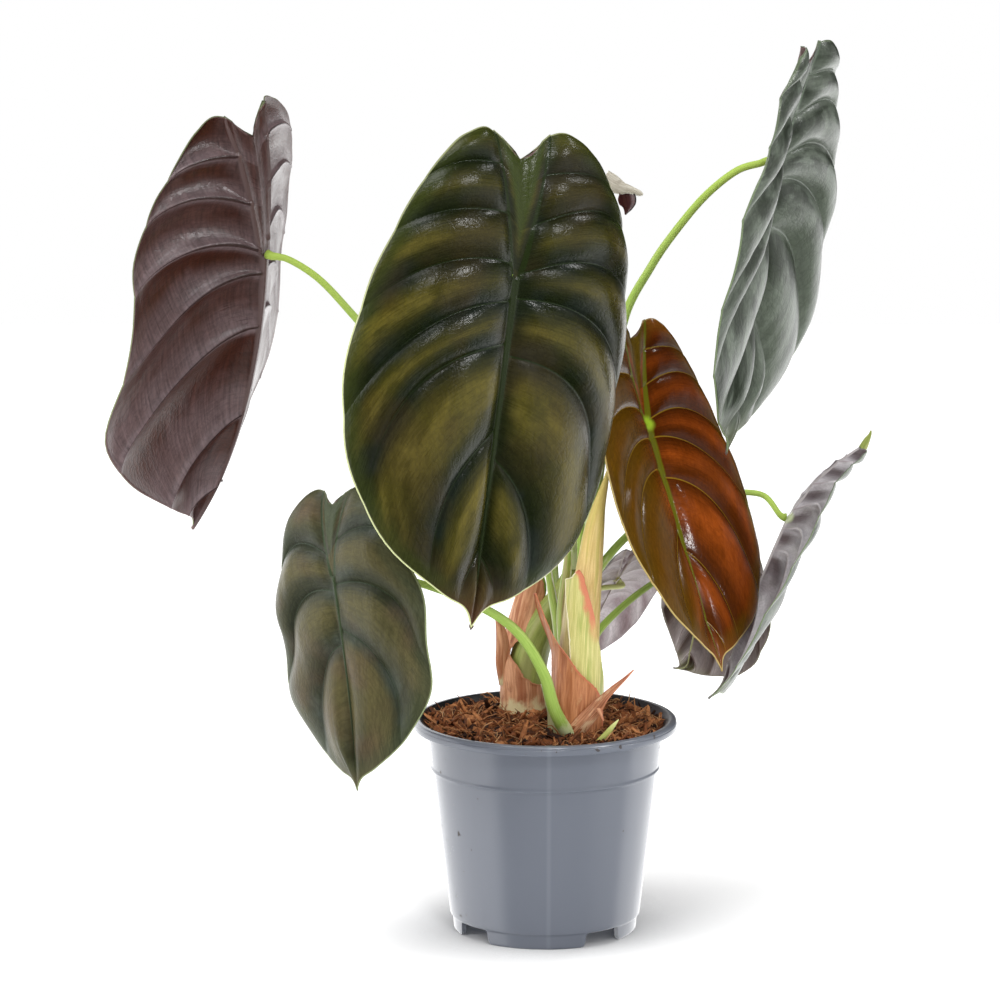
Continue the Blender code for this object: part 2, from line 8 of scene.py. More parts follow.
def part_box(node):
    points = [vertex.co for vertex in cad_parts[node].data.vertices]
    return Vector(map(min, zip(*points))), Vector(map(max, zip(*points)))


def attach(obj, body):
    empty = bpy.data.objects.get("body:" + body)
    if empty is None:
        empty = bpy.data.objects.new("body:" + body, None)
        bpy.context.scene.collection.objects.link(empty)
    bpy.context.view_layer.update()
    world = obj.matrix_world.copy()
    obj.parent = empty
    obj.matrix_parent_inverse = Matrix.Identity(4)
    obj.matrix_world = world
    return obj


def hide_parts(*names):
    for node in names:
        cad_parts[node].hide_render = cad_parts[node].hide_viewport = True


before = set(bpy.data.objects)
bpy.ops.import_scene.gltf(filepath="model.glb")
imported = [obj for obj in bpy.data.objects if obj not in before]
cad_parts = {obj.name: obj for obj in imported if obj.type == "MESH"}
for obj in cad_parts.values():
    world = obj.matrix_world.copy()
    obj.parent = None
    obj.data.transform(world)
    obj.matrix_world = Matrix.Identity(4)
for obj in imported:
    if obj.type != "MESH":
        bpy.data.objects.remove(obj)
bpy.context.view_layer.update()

bl_info = {
    "name": "Potted alocasia",
    "version": (1, 0, 0),
    "blender": (4, 5, 0),
    "location": "View3D > Sidebar > Alocasia",
    "description": "Builds a potted alocasia with coir, sheathed shoots and quilted leaves",
    "category": "Add Mesh",
}

MM = 0.001
POT_LOW, POT_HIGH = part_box("nursery_pot")
AXIS = np.array([(POT_LOW.x + POT_HIGH.x) / 2, (POT_LOW.y + POT_HIGH.y) / 2, POT_LOW.z])

# ---------------------------------------------------------------- leaf design
# Outline of one half, as fractions of the distance from petiole to tip.
OUTLINE = (
    (0.0, 0.345), (0.02, 0.35), (0.042, 0.377), (0.067, 0.408), (0.112, 0.428), (0.16, 0.415),
    (0.22, 0.372), (0.32, 0.235), (0.405, 0.03),
    (0.455, -0.20), (0.46, -0.40), (0.41, -0.61), (0.29, -0.80), (0.12, -0.925),
    (0.035, -0.97), (0.0, -1.03),
)
# Side veins, crown to tip: where each leaves the spine, its bend (x, y), where it meets the margin.
VEINS_A = (
    (0.423, (0.13, 0.43), 0.405), (0.325, (0.22, 0.345), 0.27), (0.186, (0.25, 0.215), 0.115),
    (0.041, (0.26, 0.10), -0.126), (-0.068, (0.31, -0.075), -0.44),
    (-0.193, (0.36, -0.235), -0.686), (-0.447, (0.195, -0.60), -0.897),
    (-0.80, (0.06, -0.88), -0.955), (-1.03, (0.0, -1.03), -1.03),
)
VEINS_B = (
    (0.423, (0.13, 0.43), 0.405), (0.30, (0.21, 0.335), 0.285), (0.154, (0.23, 0.26), 0.163),
    (0.012, (0.24, 0.13), -0.06), (-0.059, (0.28, -0.045), -0.36),
    (-0.227, (0.34, -0.27), -0.73), (-0.53, (0.15, -0.67), -0.915),
    (-0.82, (0.05, -0.89), -0.96), (-1.03, (0.0, -1.03), -1.03),
)
# The low left blade is puffier, with fewer veins.
VEINS_C = (
    (0.423, (0.13, 0.43), 0.405), (0.10, (0.25, 0.26), 0.04), (-0.07, (0.33, 0.0), -0.52),
    (-0.33, (0.20, -0.36), -0.86), (-1.03, (0.0, -1.03), -1.03),
)
VEINS_D = (
    (0.423, (0.13, 0.43), 0.405), (0.17, (0.26, 0.31), 0.12), (-0.04, (0.34, 0.03), -0.48),
    (-0.26, (0.28, -0.36), -0.83), (-1.03, (0.0, -1.03), -1.03),
)
LOBE_VEIN_X = 0.085          # where the basal vein ends under the lobe's crown
PANEL_STEP = 24.0            # how far the stored "flow" runs along a blade for each panel
STRIP = 4                    # mesh columns from the blade's axis to the midrib or basal vein
FULL_LENGTH = 149.0          # length in mm for which relief and ribs are given
SMALL_LEAF = 80.0            # length in mm under which a blade gets a coarser mesh
SCALLOP = 0.012              # how far the margin swells between veins, as a share of width


# A blade's pose: at in mm, angles in degrees, heading 0 faces -Y.
POSE = ("at", "heading", "pitch", "lean", "length", "width", "fold", "skew", "cup", "arch_tip",
        "arch_lobe", "sweep", "twist", "right")
USUAL = dict(sweep=0.0, twist=0.0, right=1.0, quilt=1.0, wave=1.0, hook=(0.0, 0.0), lobes=1.0,
             halves=(1.0, 1.0), margin=(0.0, 1.0, 0.0), veins=(VEINS_A, VEINS_B), lobe_open=0.0,
             seed=0.0)


def blade(*values, **more):
    """Return one blade's pose from its values in the order of POSE."""
    return {**USUAL, **dict(zip(POSE, values)), **more}


BLADES = {
    "front": blade((-13.5, -92, 311), 34, -2, -7, 149, 1.08, 11, 0, -48, 3, 19, -0.01, -1, 1.15,
                   quilt=1.25, seed=1.0),
    "left": blade((-130, 50, 305), -125, 12, -12, 165, 0.96, 23, -5, 5, -31, -17, 0.055, 2, 0.98,
                  quilt=2.0, halves=(0.15, 1.0), margin=(0.085, 0.8, -0.65), wave=1.6,
                  lobe_open=15.0, seed=2.0),
    "low_left": blade((-94, -76, 178), -40, -2, 10, 93, 1.01, -8, -1, -5, 2, 27, 0.075, -1, 1.02,
                      quilt=1.25, wave=1.6, margin=(0.03, 0.5, -0.1), veins=(VEINS_C, VEINS_D),
                      seed=3.0),
    "high_right": blade((105, 0, 351), 67, -13, 2, 132, 0.97, 8, 0, 1, -4, -4, 0.01, 4,
                        quilt=2.1, wave=2.0, margin=(0.04, 0.5, -0.1), seed=4.0),
    "copper": blade((47, 24, 230), 59, 25, -10, 116, 1.02, 14, 0, -16, -1, -16, 0, 1, 1.05,
                    quilt=0.62, wave=0.6, seed=5.0),
    "low_right": blade((115, 62, 178), 83, -25, -42, 103, 0.78, 16, -10, -13, -5, -26, 0.03, 13,
                       quilt=1.4, lobes=1.2, hook=(0.0, -4.0), seed=6.0),
    "right_under": blade((79, 114, 149), 128, 15, 26, 72, 1.2, 14, 0, -4, 5, 2, 0, -1,
                         quilt=2.2, wave=2.5, hook=(9.0, 0.0), seed=7.0),
    "back_low": blade((33, 50, 153), -129, 43, -19, 66, 1.0, -6, 1, 0, 10, -5, 0.04, 3,
                      quilt=0.6, seed=8.0),
    "back_high": blade((-16, 60, 315), -90, 75, 180, 50, 0.9, 32, 0, 0, -8, 0, seed=9.0),
}
LEAF_LOOKS = {
    "front": ("leaf_olive", "leaf_maroon", "blade_olive"),
    "left": ("leaf_grey", "leaf_maroon", "blade_underside"),
    "low_left": ("leaf_grey", "leaf_maroon", "blade_grey"),
    "high_right": ("leaf_silver", "leaf_maroon", "blade_grey"),
    "copper": ("leaf_copper", "leaf_maroon", "blade_copper"),
    "low_right": ("leaf_silver", "leaf_violet", "blade_underside"),
    "right_under": ("leaf_grey", "leaf_brown", "blade_underside"),
    "back_low": ("leaf_grey", "leaf_lilac", "blade_underside"),
    "back_high": ("leaf_lilac", "leaf_maroon", "blade_underside"),
}

# Petiole routes, mm, from the shoot to just short of the blade, and end radii.
PETIOLES = {
    "front": (((13.2, 19.9, 163.8), (11, 15, 190), (5, 2, 235), (-4, -24, 282), (-10, -58, 307)),
              3.4, 2.3),
    "left": (((-9, 28, 101), (-9, 31, 133), (-2, 29, 154), (-18, 31, 184), (-44, 34, 220),
              (-66, 38, 252), (-87, 42, 276), (-103, 44, 293), (-117, 46, 302)), 3.6, 1.5),
    "low_left": (((12, -24, 92), (4, -36, 109), (-1, -42, 127), (-10, -48, 144), (-20, -55, 155),
                  (-34, -62, 164), (-51, -68, 172), (-68, -70, 177), (-83, -70, 179)), 3.9, 1.3),
    "high_right": (((18, -10, 173), (22, -2, 198), (26, 14, 221), (31.5, 33, 250), (37, 40, 278),
                    (48, 34, 300), (57, 26, 315), (71, 15, 334), (85, 5, 347), (96, 1.5, 351)),
                   3.2, 1.6),
    "copper": (((17, -11, 155), (16.5, -2, 172), (17, 8, 198), (22, 19, 216), (33, 27, 226)),
               2.6, 1.8),
    "low_right": (((19, -11, 160), (27, -6, 172), (38, 4, 182), (52, 20, 189), (64, 39, 192),
                   (78, 57, 192), (91, 66, 190.5), (103, 70, 188)), 2.2, 1.3),
    "right_under": (((18, -10, 128), (25, 4, 138), (38, 22, 147), (51, 44, 152), (62, 67, 154),
                     (70, 97, 151)), 2.0, 1.2),
    "back_low": (((17, -10, 132), (17, 1, 141), (19, 16, 148), (24, 32, 151)), 1.8, 1.2),
    "back_high": (((6, 24, 142), (4, 31, 160), (3, 38, 195), (-6, 48, 240), (-14, 57, 280),
                   (-16.5, 60, 303)), 2.6, 1.6),
}

# Stems: axis points in mm with the radius at each.
MAIN_SHOOT = ((16, -16, 84, 8.6), (15.5, -16, 96, 8.9), (14.8, -16, 104, 8.9),
              (15, -15, 114, 8.7), (15.8, -14, 132, 8.2), (17.3, -13, 150, 7.2),
              (19.9, -12, 172, 5.7), (21.7, -12, 186, 4.6), (24.0, -12, 198, 2.9),
              (26.8, -12, 209, 1.4), (28.2, -12, 216, 0.3))
LEFT_SHOOT = ((-9, 26, 84, 9.0), (-9, 26, 98, 9.0), (-8.6, 26.5, 110, 8.9), (-7, 26.5, 121, 8.6),
              (-3.5, 26, 131, 7.8), (3, 24, 143, 6.2), (9, 22, 153, 4.8), (13, 20, 163, 3.6))
NEW_SHOOT = ((20, -32, 88, 0.9), (23, -34, 93, 1.6), (27, -35.5, 98, 1.5), (30, -36, 102, 1.0),
             (32.5, -36, 105, 0.2))

# Sheath shells: axis x, y, z, radius, centre angle and half angle (0 faces -Y, + toward +X).
INNER_SHEATH = ((14.5, -16, 94, 9.7, -10, 120), (15, -15, 114, 9.7, -12, 115),
                (15.6, -14, 132, 9.3, -34, 94), (16.2, -13.6, 141, 9.0, -42, 80),
                (16.8, -13.2, 149, 8.6, -43, 72), (17.2, -13, 156, 8.2, -46, 52),
                (17.6, -13, 161, 8.0, -48, 26), (17.8, -13, 164, 7.9, -52, 4))
FRONT_SHEATH = ((14.8, -16, 104, 10.3, 30, 70), (15.4, -14.8, 118, 10.3, 22, 56),
                (15.6, -14.2, 126, 10.2, 18, 46), (15.9, -14, 135, 10.0, 11, 41),
                (16.2, -13.6, 141, 9.7, 2, 38), (16.8, -13.2, 149, 9.3, -8, 39),
                (17.3, -13, 158.5, 8.9, -25, 38), (17.6, -13, 163, 8.7, -34, 37),
                (17.7, -13, 165, 8.6, -39, 37), (17.8, -13, 166.4, 8.6, -25, 22),
                (17.9, -13, 168.6, 8.6, -22, 12), (18, -13, 170.4, 8.6, -20, 1.2))
DRY_SHEATH = ((14.0, -16, 93.5, 10.4, -4, 88), (14.2, -15.8, 100, 10.9, -8, 86),
              (14.4, -15.5, 108, 11.1, -14, 82), (14.8, -15.2, 116, 11.0, -26, 70),
              (15, -15, 124, 11.2, -45, 48), (15.5, -14.5, 132, 12.2, -58, 32),
              (16, -14, 140, 15.2, -66, 17), (16, -14, 150, 19.8, -62, 7),
              (16, -14, 161, 24.6, -56, 1.2))
LEFT_DRY_SHEATH = ((-9.8, 26.5, 94.0, 10.9, -15, 125), (-9.8, 26.8, 100, 10.4, -28, 118),
                   (-9.8, 27, 106, 10.4, -30, 118), (-10, 27.2, 109, 10.3, -55, 95),
                   (-10.2, 27.6, 112, 10.1, -70, 80), (-10.6, 28.3, 118, 9.7, -80, 70),
                   (-10.2, 29.3, 124, 9.2, -92, 58), (-9.4, 30.2, 131, 8.5, -79, 71),
                   (-8.3, 30.7, 137, 8.1, -68, 82), (-6.0, 31, 147, 7.3, -60, 100),
                   (-3.5, 31, 158, 6.6, -90, 108), (-2.5, 31, 168, 6.0, -92, 70))
PETIOLE_FOOT = ((13.6, -16, 93.4, 12.0, -38, 44), (13.6, -16, 98, 12.2, -46, 38),
                (13.4, -16.4, 103, 12.2, -58, 28), (12.4, -17.4, 108, 12.0, -68, 19),
                (11.2, -18.6, 113, 12.0, -76, 9), (10.0, -20, 118, 12.0, -82, 1))
# Flat-lying wraps and wings: x, y, z and half width.
SPIKE_WRAP = ((9.5, -27.6, 95.0, 2.4), (13, -28.4, 97.5, 3.4), (17, -29.2, 102.0, 3.8),
              (22, -29.6, 108, 3.1), (26, -30.6, 113.5, 1.9), (30.5, -32, 118.5, 1.3),
              (35, -33.4, 123, 0.7), (39.2, -34.4, 127.6, 0.15))
THORN = ((22.6, -29.8, 109.5, 1.5), (24.6, -31.6, 106.6, 0.8), (25.8, -33.2, 103.6, 0.12))
SIDE_FLAP = ((-19.3, 22, 108, 1.5), (-19.8, 21, 118, 2.6), (-19.4, 20, 127, 2.9),
             (-20.4, 19.4, 135, 2.0), (-22.6, 19, 143.5, 0.3))
WING_LEFT = ((6.6, -6, 122, 1.9), (6.2, -5.5, 134, 2.1), (5.0, -5, 144, 2.0), (3.2, -4, 154, 1.8),
             (1.6, -3, 164, 1.5), (0.8, -2, 172, 1.2))
WING_RIGHT = ((8.6, -9, 124, 1.9), (7.9, -9, 136, 2.4), (7.6, -8, 147, 2.5), (8.2, -7, 156, 2.2),
              (9.6, -6, 166, 2.0), (10.5, -5, 176, 1.5))
TIP_PALE = ((27, 55, 339, 3.6), (31, 55, 336, 4.0), (35, 55, 334, 3.0), (38, 55, 333.5, 2.0),
            (41, 55, 332.5, 1.5), (43.5, 55, 331.5, 1.2), (45, 55, 331, 0.3))
TIP_DARK = ((36.5, 57, 333, 2.2), (37.5, 57, 330, 4.0), (38, 57, 327, 3.8), (38, 57, 325, 2.4),
            (37.5, 57, 323, 1.0), (37, 57, 321.5, 0.2))
LOBE_CURL = ((147, 88, 203, 1.2), (150, 88, 207, 1.8), (152, 88, 211, 1.4), (153.5, 88, 214, 0.6),
             (154, 88, 216, 0.2))
# The gaps in the pot's foot, mm: half the outline, how far out the cut runs, the drain holes.
POT_GAP_ANGLES = (-51.5, 38.5, 128.5, 218.5)
GAP_HALF = ((-11.6, -2.0), (-11.0, 0.2), (-10.2, 0.9), (-9.7, 2.0), (-9.5, 3.4), (-9.4, 5.2),
            (-9.0, 6.2), (-8.0, 6.72))
GAP_REACH = (34.0, 52.0)
DRAIN_RADIUS, DRAIN_REACH = 3.5, 33.0


# ---------------------------------------------------------------- mesh helpers

def deselect():
    """Leave object mode and clear the selection."""
    if bpy.context.object and bpy.context.object.mode != "OBJECT":
        bpy.ops.object.mode_set(mode="OBJECT")
    bpy.ops.object.select_all(action="DESELECT")


def activate(item):
    """Select one object alone and make it active."""
    deselect()
    item.select_set(True)
    bpy.context.view_layer.objects.active = item


def lattice(name, points):
    """Add a grid of rows x columns points, in mm from the foot of the pot's axis."""
    rows, columns = points.shape[:2]
    deselect()
    bpy.ops.mesh.primitive_grid_add(x_subdivisions=columns - 1, y_subdivisions=rows - 1, size=1.0)
    item = bpy.context.object
    item.name = item.data.name = name
    placed = points.reshape(-1, 3) * MM + AXIS
    item.data.vertices.foreach_set("co", placed.ravel())
    item.data.update()
    return item


def tag(item, name, values):
    """Store one number or one vector per vertex for the materials to read."""
    values = np.asarray(values, dtype=np.float32)
    kind = "FLOAT_VECTOR" if values.shape[-1] == 3 and values.ndim > 1 else "FLOAT"
    layer = item.data.attributes.new(name, kind, "POINT")
    layer.data.foreach_set("vector" if kind == "FLOAT_VECTOR" else "value", values.ravel())


def edit(item, *steps):
    """Run edit-mode operators on everything in an object."""
    activate(item)
    bpy.ops.object.mode_set(mode="EDIT")
    bpy.ops.mesh.select_all(action="SELECT")
    for operator, settings in steps:
        operator(**settings)
    bpy.ops.object.mode_set(mode="OBJECT")


def weld(item, distance):
    """Merge points closer than a distance in mm."""
    edit(item, (bpy.ops.mesh.remove_doubles, dict(threshold=distance * MM)))


def modify(item, kind, **settings):
    """Add a modifier and apply it."""
    activate(item)
    step = item.modifiers.new(kind.title(), kind)
    for key, value in settings.items():
        setattr(step, key, value)
    bpy.ops.object.modifier_apply(modifier=step.name)


def coat(item, *looks):
    """Give a piece its materials."""
    for look in looks:
        item.data.materials.append(skin(look))


def finish_piece(item, replaces=(), looks=()):
    """Shade, give materials, and tie a piece to the frame."""
    coat(item, *looks)
    item.data.shade_smooth()
    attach(item, "root")
    if replaces:
        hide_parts(*replaces)


def spline(points, count):
    """Return count points, evenly spaced, along a Catmull-Rom curve through the given points."""
    pts = np.array(points, dtype=float)
    ends = np.vstack([2 * pts[0] - pts[1], pts, 2 * pts[-1] - pts[-2]])
    fine = []
    for i in range(1, len(ends) - 2):
        a, b, c, d = ends[i - 1:i + 3]
        for t in np.linspace(0.0, 1.0, 24, endpoint=False):
            fine.append(0.5 * (2 * b + (c - a) * t + (2 * a - 5 * b + 4 * c - d) * t ** 2
                               + (3 * b - 3 * c + d - a) * t ** 3))
    fine = np.array(fine + [pts[-1]])
    width = min(3, fine.shape[1])
    steps = np.linalg.norm(np.diff(fine[:, :width], axis=0), axis=1)
    along = np.concatenate([[0.0], np.cumsum(steps)])
    at = np.linspace(0.0, along[-1], count)
    return np.stack([np.interp(at, along, fine[:, k]) for k in range(fine.shape[1])], axis=-1)


def clouds(points, scale, seed):
    """Return smooth noise in -1..1 at each of many points, for features of a size in mm."""
    shift = Vector((seed * 7.3, seed * 3.1, seed * 5.7))
    flat = np.asarray(points, dtype=float).reshape(-1, 3)
    return np.array([noise.noise(Vector(p) / scale + shift) for p in flat])


# ---------------------------------------------------------------- leaf geometry

def outline_curve():
    """Return the outline as a dense polyline, notch to tip."""
    return spline(OUTLINE, 320)


def margin_point(y, curve):
    """Return the point of the outer margin at a height along the blade."""
    crown = int(np.argmax(curve[:, 1]))
    side = curve[crown:]
    return np.array([np.interp(-y, -side[:, 1], side[:, 0]), y])


def rib_half_width(y):
    """Half width of the midrib (y < 0) or basal vein (y > 0), as a share of length."""
    return np.where(y < 0, 0.0115 * (1.0 - 0.82 * np.clip(-y / 0.95, 0.0, 1.0) ** 0.8),
                    0.0075 * (1.0 - 0.6 * np.minimum(1.0, y / 0.42)))


def spine_x(y):
    """Distance from the axis to the basal vein above the petiole, or to the midrib's edge."""
    rise = np.clip(y / VEINS_A[0][0], 0.0, 1.0)
    return np.where(y > 0, rib_half_width(0 * y - 1e-6) + (LOBE_VEIN_X - 0.0115) * rise ** 1.1,
                    rib_half_width(np.minimum(y, -1e-6)))


def half_blade(veins, other, rows, columns, strip):
    """Return one flat half, crown to tip: points, panel phase, share across, panel width."""
    curve = outline_curve()
    eased = np.linspace(0.0, 1.0, columns + 1)
    t = (0.55 * eased + 0.45 * (1 - np.cos(pi * eased)) / 2)[:, None]
    lobe_arc = None
    lines = []
    phases = []

    def row(s, bend, m):
        """Return one row of points, from the spine at s to the margin at m."""
        start = np.array([float(spine_x(np.array(s))), s])
        end = margin_point(m, curve)
        return (1 - t) ** 2 * start + 2 * t * (1 - t) * bend + t ** 2 * end

    for panel in range(len(veins) - 1):
        (s0, b0, m0), (s1, b1, m1) = veins[panel:panel + 2]
        a0, a1 = other[panel][0], other[panel + 1][0]
        for k in range(rows):
            even = k / rows
            share = even - 0.11 * sin(2 * pi * even)
            bend = np.array(b0) + (np.array(b1) - np.array(b0)) * share
            line = row(s0 + (s1 - s0) * share, bend, m0 + (m1 - m0) * share)
            line[:, 0] *= 1.0 + SCALLOP * sin(pi * share) * t[:, 0]
            if panel == 0:
                if lobe_arc is None:
                    crown = curve[(curve[:, 0] >= LOBE_VEIN_X) & (curve[:, 1] >= m0)]
                    arc = np.vstack([line[0], crown, line[-1]])
                    lobe_arc = np.stack([np.interp(t[:, 0] * (len(arc) - 1), range(len(arc)),
                                                   arc[:, c]) for c in (0, 1)], axis=-1) - line
                line = line + lobe_arc * (1 - share) ** 2
            middle = (s0 + (s1 - s0) * share + a0 + (a1 - a0) * share) / 2
            if middle > 0:
                middle *= OUTLINE[0][1] / VEINS_A[0][0]
            u = np.linspace(0.0, 1.0, strip + 1)[:-1, None]
            inner = np.array([0.0, middle]) * (1 - u) + line[0] * u
            if panel == 0 and k == 0:
                sinus = curve[(curve[:, 0] <= LOBE_VEIN_X) & (curve[:, 1] > 0.3)]
                inner = np.stack([np.interp(u[:, 0] * (len(sinus) - 1), range(len(sinus)),
                                            sinus[:, c]) for c in (0, 1)], axis=-1)
            lines.append(np.vstack([inner, line]))
            phases.append(panel + share)
    tip = np.array([0.0, OUTLINE[-1][1]])
    lines.append(np.tile(tip, (strip + columns + 1, 1)))
    phases.append(len(veins) - 1.0)
    flat = np.array(lines)
    phase = np.array(phases)
    starts = [i * rows for i in range(len(veins) - 1)] + [len(flat) - 1]
    width = np.array([np.linalg.norm(flat[starts[i]] - flat[starts[i + 1]], axis=-1)
                      for i in range(len(veins) - 1)])
    panel_of = np.minimum(phase.astype(int), len(veins) - 2)
    return flat, phase, np.concatenate([np.zeros(strip), t[:, 0]]), width[panel_of]


def segment_distance(points, path):
    """Distance from each point to a polyline, both flat."""
    a, b = path[:-1], path[1:]
    run = b - a
    size = np.maximum((run ** 2).sum(-1), 1e-12)
    off = points[:, None, :] - a[None]
    share = np.clip((off * run).sum(-1) / size, 0, 1)
    return np.linalg.norm(off - share[..., None] * run, axis=-1).min(axis=1)


def blade_frame(pose):
    """Return the blade's right, up and normal directions."""
    h, p, lean = (radians(pose[k]) for k in ("heading", "pitch", "lean"))
    normal = np.array([sin(h) * cos(p), -cos(h) * cos(p), sin(p)])
    down = np.array([0.0, 0.0, -1.0]) + normal * normal[2]
    down /= np.linalg.norm(down)
    tip = cos(lean) * down + sin(lean) * np.cross(-down, normal)
    return np.cross(-tip, normal), -tip, normal


def bend_blade(x, y, lift, pose):
    """Fold, cup, arch and twist flat blade points, and place them in mm."""
    length = pose["length"]
    y = np.where(y > 0, y * (1 + (pose["lobes"] - 1) * np.clip(y / 0.4, 0, 1)), y)
    wide = length * pose["width"]
    side = np.where(x < 0, -1.0, 1.0)
    across = np.abs(x) * wide * np.where(x > 0, pose["right"], 1.0)
    amount, pitch, widest = pose["margin"]
    across = across * (1 + amount * np.cos(2 * pi * (y - widest) / pitch))
    opened = pose["lobe_open"] * (side < 0) * np.clip(y / 0.36, 0, 1) ** 1.5
    fold = np.radians(pose["fold"] + side * pose["skew"] - opened)
    curl = (radians(pose["cup"]) + 2e-4) / (0.46 * wide)
    out = side * (np.sin(fold + curl * across) - np.sin(fold)) / curl
    rise = -(np.cos(fold + curl * across) - np.cos(fold)) / curl
    out = out - side * lift * np.sin(fold + curl * across)
    rise = rise + lift * np.cos(fold + curl * across)
    turn = radians(pose["twist"]) * -y
    out, rise = (out * np.cos(turn) - rise * np.sin(turn),
                 out * np.sin(turn) + rise * np.cos(turn))
    out = out + pose["sweep"] * length * y * np.abs(y)
    low = y < 0
    tip_arch, lobe_arch = radians(pose["arch_tip"]) + 2e-4, radians(pose["arch_lobe"]) + 2e-4
    rate = np.where(low, tip_arch, lobe_arch / 0.43) / length
    bend = rate * length * np.abs(y)
    along = np.where(low, -1.0, 1.0) * np.sin(bend) / rate
    sink = -(1.0 - np.cos(bend)) / rate
    tilt = np.where(low, 1.0, -1.0) * np.sin(bend)
    right, up, normal = blade_frame(pose)
    local = np.stack([out, along - rise * tilt, sink + rise * np.cos(bend)], axis=-1)
    hook = np.clip((-y - 0.9) / 0.13, 0, 1) ** 2
    local[:, 0] += pose["hook"][0] * hook
    local[:, 2] += pose["hook"][1] * hook
    return np.array(pose["at"]) + local @ np.stack([right, up, normal])


def swell(share, across, width, first, quilt):
    """Height of a panel's pillow in mm over a flat blade."""
    hump = 1.0 - np.abs(2 * share - 1) ** 2.2
    edge = np.where(first, 0.25 + 0.75 * np.clip(share * 2.2, 0, 1) ** 0.7, hump)
    hump = np.where(first, edge * (1.0 - np.clip(2 * share - 1, 0, 1) ** 2.2), hump)
    reach = (1.0 - np.exp(-across / 0.15)) * (1.0 - 0.92 * across ** 3.0)
    return 0.145 * quilt * np.minimum(width, 30.0) * hump * reach


def measure_half(side, veins, other, rows, columns, length):
    """Return one half of a blade: its flat points and what its relief and looks depend on."""
    flat, phase, across, width = half_blade(veins, other, rows, columns, STRIP)
    boundary = np.vstack([flat[::-1, -1], flat[0, ::-1]])
    wide = flat.shape[1]
    x, y = flat.reshape(-1, 2).T
    share = phase % 1.0
    share[-1] = 1.0
    share, first, phase = (np.repeat(values[:, None], wide, 1)
                           for values in (share, phase < 1.0, phase))
    spine = np.where(y > 0, np.abs(x - spine_x(y)), np.abs(x)) * length
    inner = np.zeros((len(flat), wide))
    inner[:, :STRIP] = 1.0
    step = np.linalg.norm(np.diff(flat, axis=1), axis=-1) * length
    along = np.concatenate([np.zeros((len(flat), 1)), np.cumsum(step, axis=1)], axis=1)
    half = dict(x=side * x, y=y, rim=segment_distance(flat.reshape(-1, 2), boundary) * length,
                share=share, first=first, phase=phase, t=np.repeat(across[None], len(flat), 0),
                vein=np.minimum(np.where(first, 9.0, share), 1 - share) * width * length,
                rib=spine / (rib_half_width(y) * length), spine=spine, inner=inner,
                width=width * length, along=side * along)
    return {key: values.reshape(-1, wide) for key, values in half.items()}


def relief(data, channel, flow, pose):
    """Height in mm over the flat blade: pillows, grooves, midrib, turned rim and waves."""
    x, y, t, inside = data["x"], data["y"], data["t"], 1 - data["inner"]
    size = pose["length"] / FULL_LENGTH
    lift = swell(data["share"], t, data["width"], data["first"] > 0.5, pose["quilt"])
    lift *= inside * np.where(x < 0, *pose["halves"])
    lift -= 0.45 * size * np.exp(-data["vein"] ** 2) * (1 - 0.75 * t) * inside
    lift -= 1.2 * size * np.exp(-(data["spine"] / 4.0) ** 2)
    lift += 0.55 * size * np.clip(1 - data["rib"] ** 2, 0, 1) * np.where(y < 0, 1.0, 0.6)
    between = np.abs(x) / np.maximum(spine_x(np.maximum(y, 1e-3)), 1e-3)
    ridge = np.clip(y / 0.3, 0, 1) * np.sin(pi * np.clip(between, 0, 1))
    lift += channel * (1.2 * ridge - 0.4)
    lift -= 0.9 * np.clip(1 - data["rim"] / 5.0, 0, 1) ** 2
    apart = flow + np.array([0, 0, 90.0]) * np.sign(x)[:, None]
    pucker = clouds(apart * np.array([1.0, 0.42, 1.0]), 5.5, pose["seed"])
    ripple = clouds(apart * np.array([0.25, 1.0, 1.0]), 9.0, pose["seed"] + 3)
    lift += (0.28 * pucker + 0.30 * ripple) * (1 - np.exp(-data["vein"] / 3.0)) * inside
    broad = clouds(np.stack([x, y, 0 * x], -1) * FULL_LENGTH, 42.0, pose["seed"] + 5)
    lift += pose["wave"] * 1.6 * broad * np.clip(np.abs(x) / 0.3, 0, 1)
    return lift * (0.15 + 0.85 * np.clip((y + 1.02) / 0.20, 0, 1))


